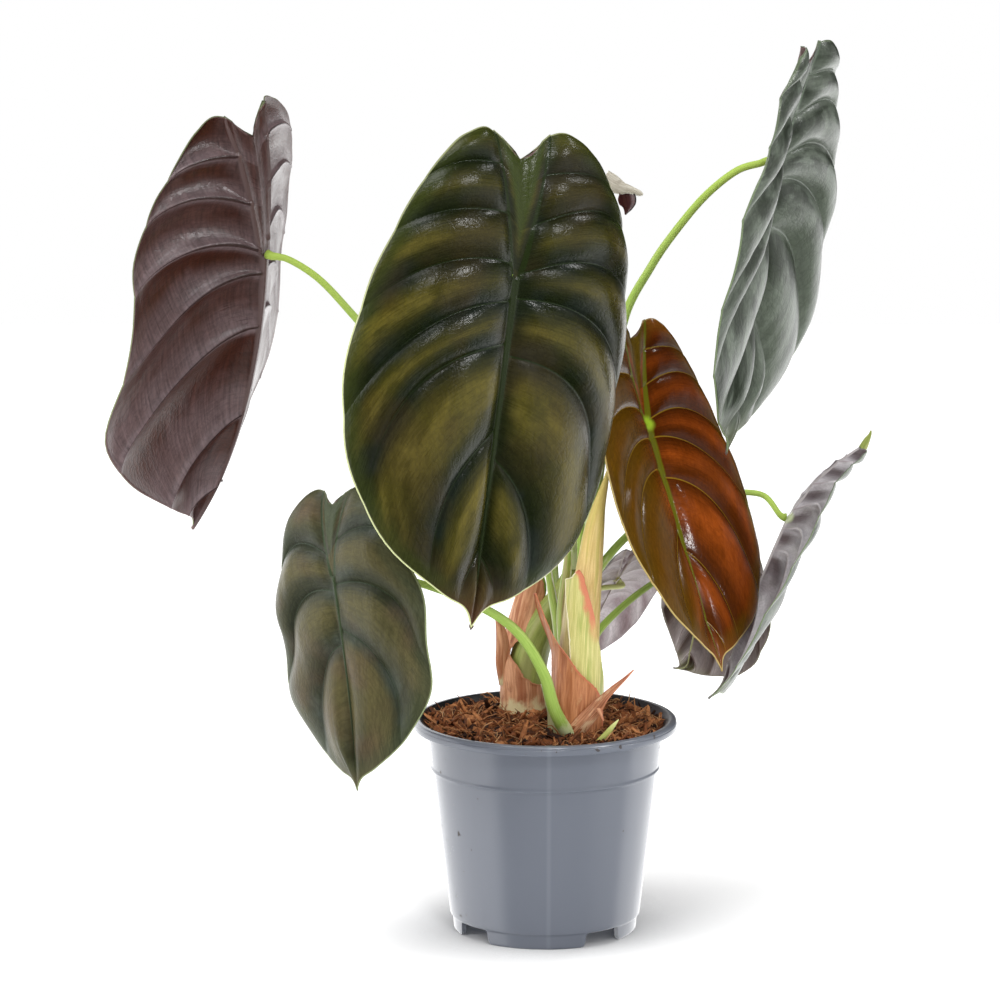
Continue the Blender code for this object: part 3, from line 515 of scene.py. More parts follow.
def make_leaf(name, pose, settings):
    """One blade: a lattice whose rows follow the veins, swollen, bent and thickened."""
    rows, columns = settings.rows_per_panel, settings.columns
    if pose["length"] < SMALL_LEAF:
        rows, columns = rows * 2 // 3, columns * 2 // 3
    left, right = pose["veins"]
    rows = rows * (len(VEINS_A) - 1) // (len(left) - 1)
    left, right = (measure_half(side, veins, other, rows, columns, pose["length"])
                   for side, veins, other in ((-1, left, right), (1, right, left)))
    data = {key: np.hstack([left[key][:, ::-1], right[key][:, 1:]])[::-1] for key in left}
    shape = data["x"].shape
    data = {key: values.astype(float).ravel() for key, values in data.items()}
    x, y, t, rib, vein = (data[key] for key in ("x", "y", "t", "rib", "vein"))
    channel = data["inner"] * (y > 0)
    flow = np.stack([data["along"], data["phase"] * PANEL_STEP,
                     np.full_like(x, pose["seed"] * 40)], -1)
    placed = bend_blade(x, y, relief(data, channel, flow, pose), pose)
    item = lattice(f"leaf_{name}", placed.reshape(*shape, 3))
    tag(item, "edge", np.stack([vein + 50.0 * channel, rib, data["rim"]], axis=-1))
    tag(item, "flow", flow)
    tag(item, "lay", np.stack([x, y, np.where(channel > 0, -1.0, t)], axis=-1))
    thick = item.vertex_groups.new(name="rib")
    profile = np.maximum(
        np.clip(1.1 - rib ** 2, 0, 1) * np.where(y < 0, 1 + y * 0.7, 0.75),
        0.34 * np.exp(-(vein / 0.8) ** 2) * (1 - 0.7 * t) * (1 - data["inner"]))
    for index, weight in enumerate(profile):
        if weight > 0.01:
            thick.add([index], float(weight), "REPLACE")
    weld(item, 0.01)
    top, under, slot = LEAF_LOOKS[name]
    coat(item, top, under)
    modify(item, "SOLIDIFY", thickness=settings.rib_thickness * pose["length"] / FULL_LENGTH,
           offset=-1.0, vertex_group="rib", material_offset=1, material_offset_rim=0,
           thickness_vertex_group=settings.blade_thickness / settings.rib_thickness)
    finish_piece(item, (f"blade_{name}",))


# ---------------------------------------------------------------- tubes and sheaths

def tube_points(path, radii, sides, squash=None):
    """Return ring points round a path with frames carried along it, rows x sides + 1."""
    path = np.asarray(path, dtype=float)
    tangent = np.gradient(path, axis=0)
    tangent /= np.linalg.norm(tangent, axis=1)[:, None]
    side = np.cross(tangent[0], (0.0, 1.0, 0.0))
    rings = []
    angle = np.linspace(0, 2 * pi, sides + 1)
    for i, (centre, along) in enumerate(zip(path, tangent)):
        side = side - along * side.dot(along)
        side /= np.linalg.norm(side)
        other = np.cross(along, side)
        radius = radii[i] * (squash(angle, i / (len(path) - 1)) if squash else 1.0)
        rings.append(centre + (np.cos(angle) * radius)[:, None] * side
                     + (np.sin(angle) * radius)[:, None] * other)
    return np.array(rings)


def close_tube(item):
    """Weld a lattice tube along its seam, cap its ends and turn its faces outward."""
    weld(item, 0.005)
    activate(item)
    bpy.ops.object.mode_set(mode="EDIT")
    bpy.ops.mesh.select_mode(type="EDGE")
    bpy.ops.mesh.select_all(action="DESELECT")
    bpy.ops.mesh.select_non_manifold()
    bpy.ops.mesh.edge_face_add()
    bpy.ops.mesh.select_all(action="SELECT")
    bpy.ops.mesh.normals_make_consistent(inside=False)
    bpy.ops.mesh.select_mode(type="VERT")
    bpy.ops.object.mode_set(mode="OBJECT")


def make_tube(name, path, radii, sides, squash=None, seed=0.0):
    """A closed tube mesh that stores its own lengthwise pattern space."""
    points = tube_points(path, radii, sides, squash)
    item = lattice(name, points)
    rows = len(points)
    run = np.concatenate([[0], np.cumsum(np.linalg.norm(np.diff(path, axis=0), axis=1))])
    angle = np.linspace(0, 2 * pi, sides + 1)
    around = np.stack([np.cos(angle) * 3.0, np.sin(angle) * 3.0], axis=-1)
    flow = np.concatenate([np.repeat(around[None], rows, 0),
                           np.repeat(run[:, None, None] + seed * 31, sides + 1, 1)], axis=-1)
    tag(item, "flow", flow.reshape(-1, 3))
    share = np.repeat(np.linspace(0, 1, rows), sides + 1)
    tag(item, "edge", np.stack([share * 0 + 50, share * 0 + 50, share], axis=-1))
    close_tube(item)
    return item


def petiole_path(name, count):
    """Return a petiole's points and radii, ending square to its blade's underside."""
    route, foot, head = PETIOLES[name]
    pose = BLADES[name]
    normal = blade_frame(pose)[2]
    end = np.array(pose["at"]) - normal * 3.3 * (pose["length"] / FULL_LENGTH) ** 0.5
    axis = spline([*route, tuple(end - normal * 3.0), tuple(end)], count)
    share = np.linspace(0.0, 1.0, count)
    radius = foot + (head - foot) * share ** 0.5
    radius += 0.7 * np.clip((share - 0.965) / 0.035, 0, 1) ** 2
    return axis, radius


def creases(across, along, seed):
    """Crumpled relief in mm for dry skin, from its position across and along in mm."""
    sharp = []
    for scale, stretch_by, weight in ((9.0, 2.4, 1.0), (4.5, 1.8, 0.5), (2.2, 1.5, 0.22)):
        spots = np.stack([across / scale, along / (scale * stretch_by), across * 0 + seed], -1)
        wave = clouds(spots, 1.0, seed + scale)
        sharp.append(weight * (0.5 - np.abs(wave)).reshape(across.shape))
    return sum(sharp)


def sheath_points(stations, rows, columns, crease, ragged, flare, seed):
    """Return a wrapped shell's points, distances to its left and right margins, and flow."""
    fine = spline(stations, rows)
    share = np.linspace(-1.0, 1.0, columns + 1)
    x, y, z, radius, centre, half = (fine[:, k:k + 1] for k in range(6))
    half = np.maximum(half, 0.4)
    tear = np.array([noise.noise(Vector((i * 0.35, seed * 9, 0)))
                     + 0.6 * noise.noise(Vector((i * 1.1, seed * 9, 5))) for i in range(rows)])
    half = half * (1.0 + ragged / 100.0 * tear[:, None])
    angle = np.radians(centre + half * share)
    across = angle * radius
    along = np.repeat(z, columns + 1, 1)
    reach = radius + crease * creases(across, along, seed) + flare * np.abs(share) ** 6
    points = np.stack([x + reach * np.sin(angle), y - reach * np.cos(angle), along], -1)
    wide = np.radians(half) * radius
    left, right = (1 + share) * wide, (1 - share) * wide
    flow = np.stack([across, along * 0 + seed * 17, along], -1)
    return points, left, right, flow


def ribbon_points(stations, rows, columns, bow, crease, seed):
    """Return a bowed ribbon that faces -Y: points, distances to its two margins, and flow."""
    fine = spline(stations, rows)
    x, y, z, half = (fine[:, k:k + 1] for k in range(4))
    step = np.gradient(fine[:, (0, 2)], axis=0)
    step /= np.linalg.norm(step, axis=1)[:, None]
    share = np.linspace(-1.0, 1.0, columns + 1)[None]
    across = half * share
    along = np.repeat(np.cumsum(np.hypot(*np.gradient(fine[:, (0, 2)], axis=0).T))[:, None],
                      columns + 1, 1)
    back = bow * half * share ** 2 - crease * creases(across, along, seed)
    points = np.stack([x + across * step[:, 1:], y + back, z - across * step[:, :1]], -1)
    flow = np.stack([across, across * 0 + seed * 17, along], -1)
    return points, (1 + share) * half, (1 - share) * half, flow


def make_skin(name, shell, thickness, replaces, look):
    """A thin shell from lattice points, with its margins and flow stored for the material."""
    points, left, right, flow = shell
    item = lattice(name, points)
    rows, columns = left.shape
    height = np.repeat(np.linspace(0, 1, rows)[:, None], columns, 1)
    tag(item, "edge", np.stack([left, right, height], -1).reshape(-1, 3))
    tag(item, "flow", flow.reshape(-1, 3))
    weld(item, 0.01)
    modify(item, "SOLIDIFY", thickness=thickness * MM, offset=0.0)
    finish_piece(item, replaces, (look,))


# ---------------------------------------------------------------- shader helpers

def put(tree, kind, inputs=None, **settings):
    """Add a shader node, set its properties and set or link its inputs."""
    made = tree.nodes.new("ShaderNode" + kind)
    for key, value in settings.items():
        setattr(made, key, value)
    for key, value in (inputs or {}).items():
        if isinstance(value, bpy.types.NodeSocket):
            tree.links.new(value, made.inputs[key])
        else:
            made.inputs[key].default_value = value
    return made


def calc(tree, operation, *values):
    """Return a Math node's result."""
    return put(tree, "Math", dict(enumerate(values)), operation=operation).outputs[0]


def times(tree, first, second):
    """Return a product."""
    return calc(tree, "MULTIPLY", first, second)


def ramp(tree, value, slope, start):
    """Return value x slope + start."""
    return calc(tree, "MULTIPLY_ADD", value, slope, start)


def ease(tree, value, low, high, start=0.0, end=1.0):
    """Return a smooth step of a value between two limits."""
    limits = {"Value": value, "From Min": low, "From Max": high, "To Min": start, "To Max": end}
    return put(tree, "MapRange", limits, interpolation_type="SMOOTHSTEP").outputs["Result"]


def mix(tree, factor, first, second, kind="MIX"):
    """Return the mix of two colours, each a socket or linear red, green and blue."""
    first, second = ((*tint, 1.0) if isinstance(tint, tuple) else tint for tint in (first, second))
    made = put(tree, "Mix", {0: factor, 6: first, 7: second}, data_type="RGBA", blend_type=kind)
    return made.outputs[2]


def blend(tree, factor, first, second):
    """Return the mix of two numbers."""
    return put(tree, "Mix", {0: factor, 2: first, 3: second}, data_type="FLOAT").outputs[0]


def dim(tree, base, value):
    """Return a colour times a value."""
    grey = put(tree, "CombineXYZ", {0: value, 1: value, 2: value}).outputs[0]
    return mix(tree, 1.0, base, grey, "MULTIPLY")


def stretch(tree, vector, *scale):
    """Return a vector scaled on each axis."""
    return put(tree, "VectorMath", {0: vector, 1: scale}, operation="MULTIPLY").outputs[0]


def speckle(tree, vector, scale, detail, roughness=0.55, distortion=0.0):
    """Return a noise texture's value."""
    made = put(tree, "TexNoise", {"Vector": vector, "Scale": scale, "Detail": detail,
                                  "Roughness": roughness, "Distortion": distortion})
    return made.outputs[0]


def stored(tree, name, part=1):
    """Return a stored attribute: part 1 as a vector, part 2 as a number."""
    return put(tree, "Attribute", attribute_name=name).outputs[part]


def split(tree, vector):
    """Return a vector's three parts."""
    return put(tree, "SeparateXYZ", {0: vector}).outputs


def object_spot(tree):
    """Return the place on the object, in metres."""
    return put(tree, "TexCoord").outputs["Object"]


def dress(tree, base, rough, height, bump, distance, specular=0.5):
    """Give a material's shader its colour, roughness, relief and specular level."""
    shader = tree.nodes["Principled BSDF"]
    relief = put(tree, "Bump", {"Strength": bump, "Distance": distance, "Height": height})
    tree.links.new(base, shader.inputs["Base Color"])
    tree.links.new(rough, shader.inputs["Roughness"])
    tree.links.new(relief.outputs[0], shader.inputs["Normal"])
    shader.inputs["Specular IOR Level"].default_value = specular


# ---------------------------------------------------------------- materials

MASK_SETTINGS = (("Valley", 6.0), ("Vein", 0.45), ("Rib", 1.0))
MASKS = ("Crest", "Core", "Vein", "Rib", "Rim", "Mottle", "Patch", "Cool", "Fibre", "Tip", "Hem",
         "Flank", "Channel", "Side", "Node", "Net", "Cross", "Sheen swirl", "Height")


def leaf_masks():
    """Group of masks that follow a blade's veins, midrib, margin, grain and mottling."""
    if "Leaf masks" in bpy.data.node_groups:
        return bpy.data.node_groups["Leaf masks"]
    tree = bpy.data.node_groups.new("Leaf masks", "ShaderNodeTree")
    for label, default in MASK_SETTINGS:
        socket = tree.interface.new_socket(label, in_out="INPUT", socket_type="NodeSocketFloat")
        socket.default_value = default
    for label in MASKS:
        tree.interface.new_socket(label, in_out="OUTPUT", socket_type="NodeSocketFloat")
    given = tree.nodes.new("NodeGroupInput").outputs
    out = tree.nodes.new("NodeGroupOutput").inputs
    to_vein, to_rib, to_rim = split(tree, stored(tree, "edge"))
    right, up, across = split(tree, stored(tree, "lay"))
    flow = stored(tree, "flow")
    spot = object_spot(tree)
    fine = speckle(tree, spot, 900.0, 2.0)
    fibre = speckle(tree, stretch(tree, flow, 0.05, 1.3, 1.0), 1.0, 3.0, 0.65)
    cross = speckle(tree, stretch(tree, flow, 0.85, 0.10, 1.0), 0.8, 3.0, 0.6)
    patch = speckle(tree, stretch(tree, flow, 0.045, 0.10, 1.0), 1.0, 3.0, 0.5, 0.6)
    # Pattern for a painted sheen on the silver face.
    sheen_swirl = speckle(tree, stretch(tree, flow, 0.055, 0.06, 1.0), 1.0, 4.0, 0.55, 1.1)
    stray = put(tree, "TexNoise", {"Vector": spot, "Scale": 260.0, "Detail": 2.0}).outputs["Color"]
    cells = put(tree, "VectorMath", {0: stretch(tree, flow, 0.26, 0.40, 1.0),
                                     1: stretch(tree, stray, 1.6, 1.6, 1.6)}, operation="ADD")
    cells = put(tree, "TexVoronoi", {"Vector": cells.outputs[0], "Scale": 1.0},
                feature="DISTANCE_TO_EDGE").outputs["Distance"]
    net = ease(tree, cells, 0.0, 0.22)
    uneven = calc(tree, "ADD", ramp(tree, patch, 6.0, -3.0), ramp(tree, fibre, 4.0, -2.0))
    reach = calc(tree, "ADD", to_vein, uneven)
    # Painted shade: the side of a panel next to the vein below it stays darker, as if turned from a
    # light above; Crest and Core carry it.
    share = calc(tree, "FRACT", calc(tree, "DIVIDE", split(tree, flow)[1], PANEL_STEP))
    painted_top_light = ease(tree, share, 0.85, 0.30, 0.25)
    core = ease(tree, reach, times(tree, given["Valley"], 0.6), times(tree, given["Valley"], 1.4))
    away = put(tree, "VectorMath", {0: put(tree, "CombineXYZ", {0: right, 1: up}).outputs[0]},
               operation="LENGTH").outputs["Value"]
    thin = times(tree, given["Vein"], calc(tree, "SUBTRACT", 1.15, across))
    height = ramp(tree, cross, 0.8, times(tree, fibre, 0.35))
    height = ramp(tree, net, 0.5, height)
    made = {
        "Crest": times(tree, ease(tree, reach, 0.5, given["Valley"]), painted_top_light),
        "Core": times(tree, core, painted_top_light),
        "Vein": ease(tree, to_vein, thin, times(tree, thin, 0.35)),
        "Rib": ease(tree, calc(tree, "DIVIDE", to_rib, given["Rib"]), 1.25, 0.7),
        "Rim": times(tree, ease(tree, to_rim, 0.75, 0.35), ease(tree, up, 0.25, -0.35, 0.35, 1.0)),
        "Mottle": speckle(tree, spot, 26.0, 2.0), "Patch": patch,
        "Cool": speckle(tree, spot, 38.0, 3.0), "Fibre": fibre,
        "Tip": ease(tree, up, -0.86, -1.03),
        "Hem": ease(tree, calc(tree, "ADD", to_rim, uneven), 10.0, 2.0),
        "Flank": ease(tree, to_rib, 7.0, 1.2), "Channel": ease(tree, across, -0.1, -0.9),
        # Side marks a blade's left half, for a painted shade.
        "Side": ease(tree, right, 0.02, -0.22), "Node": ease(tree, away, 0.042, 0.014),
        "Net": net, "Cross": cross, "Sheen swirl": sheen_swirl, "Height": ramp(tree, fine, 0.12, height),
    }
    for label in MASKS:
        tree.links.new(made[label], out[label])
    return tree


def leaf_skin(tree, crest, valley, vein, rib, rim, tip, blush, gold, slate=None, border=None,
              gloss=0.34, blush_amount=0.5, bump=0.12, valley_width=6.0, vein_width=0.5,
              specular=0.5, hem_amount=0.0, flank_amount=0.0, left=None, node=None,
              rib_width=1.0, gold_limits=(0.30, 0.66), cross=0.0, sheen_swirl=None):
    """One face of a leaf: coloured panels between darker or paler veins."""
    masks = put(tree, "Group", node_tree=leaf_masks())
    for label, value in (("Valley", valley_width), ("Vein", vein_width), ("Rib", rib_width)):
        masks.inputs[label].default_value = value
    mask = masks.outputs
    # Panels run from the valley colour by the veins to the crest colour. A darker valley is partly
    # the leaf's own colour and partly painted shade in the creases; a paler valley is a painted
    # sheen along the veins.
    base = valley
    if slate:
        base = mix(tree, ease(tree, mask["Cool"], 0.46, 0.62), base, slate)
    hem = calc(tree, "SUBTRACT", 1.0, times(tree, mask["Hem"], hem_amount))
    flank = calc(tree, "SUBTRACT", 1.0, times(tree, mask["Flank"], flank_amount))
    inside = times(tree, hem, flank)
    base = mix(tree, times(tree, mask["Crest"], inside), base, crest)
    shine = times(tree, mask["Core"], ease(tree, mask["Patch"], *gold_limits))
    base = mix(tree, times(tree, shine, inside), base, gold)
    warm = times(tree, ease(tree, mask["Mottle"], 0.46, 0.66), blush_amount)
    base = mix(tree, warm, base, blush)
    if border:
        base = mix(tree, times(tree, mask["Hem"], 0.55), base, border)
        trough = times(tree, mask["Channel"], ease(tree, mask["Flank"], 0.9, 0.0))
        base = mix(tree, trough, base, border)
    # Painted shade: the left half, turned from the light, takes the darker left colour.
    if left:
        base = mix(tree, times(tree, mask["Side"], 0.85), base, left)
    # Painted sheen: pale streaks that wander along the folds.
    if sheen_swirl:
        base = mix(tree, ease(tree, mask["Sheen swirl"], 0.42, 0.68, 0.0, 0.8), base, sheen_swirl)
    streak = ramp(tree, mask["Net"], 0.16, ramp(tree, mask["Fibre"], 0.7, 0.55))
    if cross:
        streak = calc(tree, "ADD", streak, ramp(tree, mask["Cross"], cross, -0.5 * cross))
    base = dim(tree, base, streak)
    base = mix(tree, times(tree, mask["Vein"], 0.85), base, vein)
    base = mix(tree, mask["Rib"], base, rib)
    base = mix(tree, times(tree, mask["Tip"], 0.55), base, tip)
    base = mix(tree, mask["Rim"], base, rim)
    if node:
        base = mix(tree, times(tree, mask["Node"], 0.9), base, node)
    rough = ramp(tree, mask["Patch"], 0.22, gloss - 0.11)
    dress(tree, base, ramp(tree, mask["Fibre"], 0.12, rough), mask["Height"], bump, 0.0008,
          specular)


def bed_skin(tree, dark, light):
    """Dark coir that shows between the chips: partly the coir's own damp brown, partly painted shade
    in the gaps.
    """
    spot = object_spot(tree)
    grain = speckle(tree, spot, 500.0, 5.0, 0.6, 0.3)
    blot = speckle(tree, spot, 65.0, 2.0)
    base = dim(tree, mix(tree, ease(tree, grain, 0.35, 0.65), dark, light),
               ramp(tree, blot, 0.5, 0.75))
    dress(tree, base, ramp(tree, grain, 0.2, 0.85), grain, 1.0, 0.0006, 0.1)


def stem_skin(tree, dark, light, stripe=None, blotch=None, foot=None, top=None,
              left=None, right=None, left_width=0.6, right_width=2.2, stripe_size=1.2,
              blotch_limits=(0.5, 0.68), foot_share=0.25, roughness=0.45, bump=0.3,
              fibre_bump=0.6, specular=0.35, right_from=-1.0, fibre_size=1.0):
    """Stalk or sheath skin: lengthwise fibres, stripes, blotches and coloured margins."""
    flow = stored(tree, "flow")
    to_left, to_right, along = split(tree, stored(tree, "edge"))
    fine = 2.4 / fibre_size
    fibre = speckle(tree, stretch(tree, flow, fine, fine, 0.07), 1.0, 4.0, 0.6, 0.3)
    band = speckle(tree, stretch(tree, flow, 1 / stripe_size, 1 / stripe_size, 0.025), 1.0, 2.0)
    patch = speckle(tree, stretch(tree, flow, 0.22, 0.22, 0.10), 1.0, 4.0, 0.62)
    pore = speckle(tree, stretch(tree, flow, 3.0, 3.0, 2.0), 1.0, 2.0)
    base = mix(tree, ease(tree, fibre, 0.30, 0.70), dark, light)
    if stripe:
        base = mix(tree, ease(tree, band, 0.52, 0.66, 0.0, 0.75), base, stripe)
    if blotch:
        base = mix(tree, ease(tree, patch, *blotch_limits, 0.0, 0.9), base, blotch)
    height = calc(tree, "ADD", along, ramp(tree, patch, 0.3, -0.15))
    if top:
        base = mix(tree, ease(tree, height, 0.6, 1.0), base, top)
    if foot:
        base = mix(tree, ease(tree, height, foot_share, foot_share * 0.4), base, foot)
    wander = ramp(tree, patch, 2.0, -1.0)
    for margin, tint, width in ((to_left, left, left_width), (to_right, right, right_width)):
        if tint:
            near = ease(tree, ramp(tree, wander, width * 0.9, margin), width, width * 0.35)
            if margin == to_right:
                near = times(tree, near, ease(tree, height, right_from, right_from + 0.25))
            base = mix(tree, near, base, tint)
    relief = ramp(tree, fibre, fibre_bump, times(tree, pore, 0.25))
    dress(tree, dim(tree, base, ramp(tree, pore, 0.22, 0.89)),
          ramp(tree, patch, 0.25, roughness - 0.12), relief, bump, 0.0005, specular)


def coir_skin(tree, dark, middle, light):
    """Coir: each chip has its own tone, with fibrous streaks and paler chips."""
    spot = object_spot(tree)
    grain = speckle(tree, spot, 420.0, 5.0, 0.65, 0.6)
    drift = speckle(tree, spot, 60.0, 2.0)
    level = calc(tree, "ADD", stored(tree, "tone", 2), ramp(tree, grain, 0.9, -0.45))
    level = calc(tree, "ADD", level, ramp(tree, drift, 0.6, -0.3))
    base = mix(tree, ease(tree, level, 0.05, 0.6), dark, middle)
    base = mix(tree, ease(tree, level, 0.62, 1.15), base, light)
    dress(tree, base, ease(tree, grain, 0.2, 0.8, 0.62, 0.92), grain, 0.7, 0.0004, 0.25)


def pot_skin(tree, tint, roughness):
    """Satin moulded plastic with faint flow marks, a mould line and specks of soil."""
    spot = object_spot(tree)
    across, depth, rise = split(tree, spot)
    grain = speckle(tree, spot, 1400.0, 2.0)
    flow = speckle(tree, stretch(tree, spot, 1.0, 1.0, 0.12), 70.0, 3.0)
    cloud = speckle(tree, spot, 40.0, 3.0)
    base = dim(tree, tint, ramp(tree, flow, 0.06, 0.97))
    # Soil specks gather low on the left and on the rim.
    speck = speckle(tree, spot, 330.0, 1.0, 0.4)
    left = ease(tree, across, AXIS[0] - 0.01, AXIS[0] - 0.05, 0.0, 0.085)
    rim = ease(tree, rise, 0.090, 0.097, 0.0, 0.10)
    limit = calc(tree, "SUBTRACT", 0.80, calc(tree, "MAXIMUM", left, rim))
    dirt = ease(tree, calc(tree, "SUBTRACT", speck, limit), 0.0, 0.03)
    base = mix(tree, times(tree, dirt, 0.8), base, (0.035, 0.022, 0.014))
    # Mould line: a real ridge in the relief, with a faint pale tint that paints the highlight it
    # catches.
    seam = calc(tree, "ABSOLUTE", calc(tree, "SUBTRACT", across, float(AXIS[0]) + 0.0012))
    seam = times(tree, ease(tree, seam, 0.0016, 0.0002),
                 ease(tree, depth, AXIS[1] + 0.01, AXIS[1] - 0.01))
    base = mix(tree, times(tree, seam, 0.05), base, (0.6, 0.62, 0.68))
    height = ramp(tree, cloud, 0.6, ramp(tree, grain, 0.10, times(tree, seam, 0.15)))
    rough = ramp(tree, dirt, 0.4, ramp(tree, cloud, 0.10, roughness - 0.05))
    dress(tree, base, rough, height, 0.12, 0.0006)


def floor_skin(tree, tint, glow):
    """White studio floor: evenly bright, with a painted contact shadow that dims its glow close
    round the pot's foot.
    """
    shader = tree.nodes["Principled BSDF"]
    shader.inputs["Base Color"].default_value = (tint, tint, tint, 1.0)
    shader.inputs["Roughness"].default_value = 0.9
    shader.inputs["Emission Color"].default_value = (1.0, 1.0, 1.0, 1.0)
    ao_for_painted_shadow = put(tree, "AmbientOcclusion", {"Distance": 0.17}, samples=12).outputs["AO"]
    tree.links.new(ease(tree, ao_for_painted_shadow, 0.45, 0.97, 0.0, glow), shader.inputs["Emission Strength"])


# Linear colours that the panel offers to change.
POT_GREY = (0.150, 0.164, 0.197)
CHIP_BROWN = (0.215, 0.068, 0.021)
BAND_GOLD = (0.106, 0.086, 0.012)
PANEL_COPPER = (0.200, 0.040, 0.004)
STALK_GREEN = (0.37, 0.52, 0.11)

# Leaf faces. A valley colour darker than the crest is partly the leaf's own colour and partly
# painted shade in the creases; a paler one is a painted sheen along the veins.
LEAF_SKINS = {
    "leaf_olive": dict(
        crest=(0.042, 0.037, 0.004), valley=(0.008, 0.012, 0.003), vein=(0.012, 0.022, 0.005),
        rib=(0.013, 0.021, 0.004), rim=(0.62, 0.66, 0.34), tip=(0.12, 0.040, 0.025),
        blush=(0.050, 0.030, 0.010), gold=BAND_GOLD, slate=(0.009, 0.014, 0.009),
        border=(0.034, 0.046, 0.008), gloss=0.22, valley_width=12.0, specular=0.21,
        hem_amount=0.6, flank_amount=0.9, blush_amount=0.3),
    "leaf_grey": dict(
        crest=(0.066, 0.059, 0.023), valley=(0.024, 0.028, 0.013), vein=(0.026, 0.040, 0.019),
        rib=(0.034, 0.050, 0.022), rim=(0.24, 0.28, 0.14), tip=(0.13, 0.10, 0.045),
        blush=(0.095, 0.055, 0.035), gold=(0.085, 0.074, 0.028), slate=(0.040, 0.050, 0.036),
        border=(0.048, 0.060, 0.028), gloss=0.32, valley_width=8.0, specular=0.2,
        hem_amount=0.3, flank_amount=0.4, bump=0.16, cross=0.5),
    # Painted sheen: the pale valley and gold colours, and the wandering streaks, stand for sheen
    # lines and patches over dark crests.
    "leaf_silver": dict(
        crest=(0.018, 0.026, 0.014), valley=(0.112, 0.135, 0.101), vein=(0.080, 0.105, 0.072),
        rib=(0.080, 0.110, 0.070), rim=(0.18, 0.24, 0.12), tip=(0.20, 0.22, 0.12),
        blush=(0.030, 0.040, 0.024), gold=(0.110, 0.134, 0.102), gloss=0.28, valley_width=3.2,
        specular=0.6, gold_limits=(0.50, 0.66), cross=0.6, sheen_swirl=(0.118, 0.142, 0.108)),
    # The copper blade's left colour is a painted shade on its half turned from the light.
    "leaf_copper": dict(
        crest=PANEL_COPPER, valley=(0.058, 0.013, 0.001), vein=(0.24, 0.14, 0.010),
        rib=(0.110, 0.110, 0.006), rim=(0.50, 0.38, 0.14), tip=(0.24, 0.050, 0.020),
        blush=(0.105, 0.024, 0.003), gold=(0.280, 0.058, 0.006), gloss=0.13,
        valley_width=10.0, vein_width=0.45, flank_amount=0.45, cross=0.5, specular=0.17,
        bump=0.07, left=(0.085, 0.042, 0.002), border=(0.100, 0.060, 0.005),
        node=(0.32, 0.50, 0.03), rib_width=1.9),
    # Painted sheen: the pale bluish valley colour stands for the lilac sheen beside the veins over
    # the dark maroon underside.
    "leaf_maroon": dict(
        crest=(0.054, 0.016, 0.010), valley=(0.165, 0.118, 0.122), vein=(0.024, 0.009, 0.007),
        rib=(0.12, 0.075, 0.070), rim=(0.20, 0.13, 0.12), tip=(0.10, 0.06, 0.06),
        blush=(0.092, 0.052, 0.050), gold=(0.050, 0.013, 0.006), gloss=0.27, valley_width=4.5,
        specular=0.42, cross=1.5, bump=0.14),
    # Painted sheen: this face is painted a pale lilac for the sheen it shows, paler still by the
    # veins.
    "leaf_lilac": dict(
        crest=(0.42, 0.33, 0.34), valley=(0.60, 0.53, 0.54), vein=(0.46, 0.38, 0.38),
        rib=(0.52, 0.44, 0.40), rim=(0.34, 0.28, 0.28), tip=(0.26, 0.24, 0.16),
        blush=(0.20, 0.12, 0.13), gold=(0.22, 0.13, 0.14), gloss=0.36,
        node=(0.78, 0.74, 0.30), bump=0.05),
    # Painted sheen: the pale valley colour stands for the lilac sheen along the veins over the dark
    # purple underside.
    "leaf_violet": dict(
        crest=(0.075, 0.050, 0.052), valley=(0.50, 0.47, 0.49), vein=(0.30, 0.25, 0.26),
        rib=(0.40, 0.36, 0.36), rim=(0.30, 0.26, 0.27), tip=(0.30, 0.34, 0.16),
        blush=(0.085, 0.050, 0.055), gold=(0.055, 0.032, 0.037), valley_width=5.0,
        node=(0.50, 0.58, 0.30)),
    # Painted sheen: the pale valley colour stands for light streaks of sheen along the veins over
    # the dark brown underside.
    "leaf_brown": dict(
        crest=(0.054, 0.026, 0.015), valley=(0.24, 0.20, 0.19), vein=(0.10, 0.06, 0.05),
        rib=(0.30, 0.30, 0.12), rim=(0.16, 0.13, 0.10), tip=(0.20, 0.22, 0.08),
        blush=(0.040, 0.020, 0.014), gold=(0.032, 0.016, 0.011), gloss=0.30, valley_width=3.2,
        specular=0.22),
}
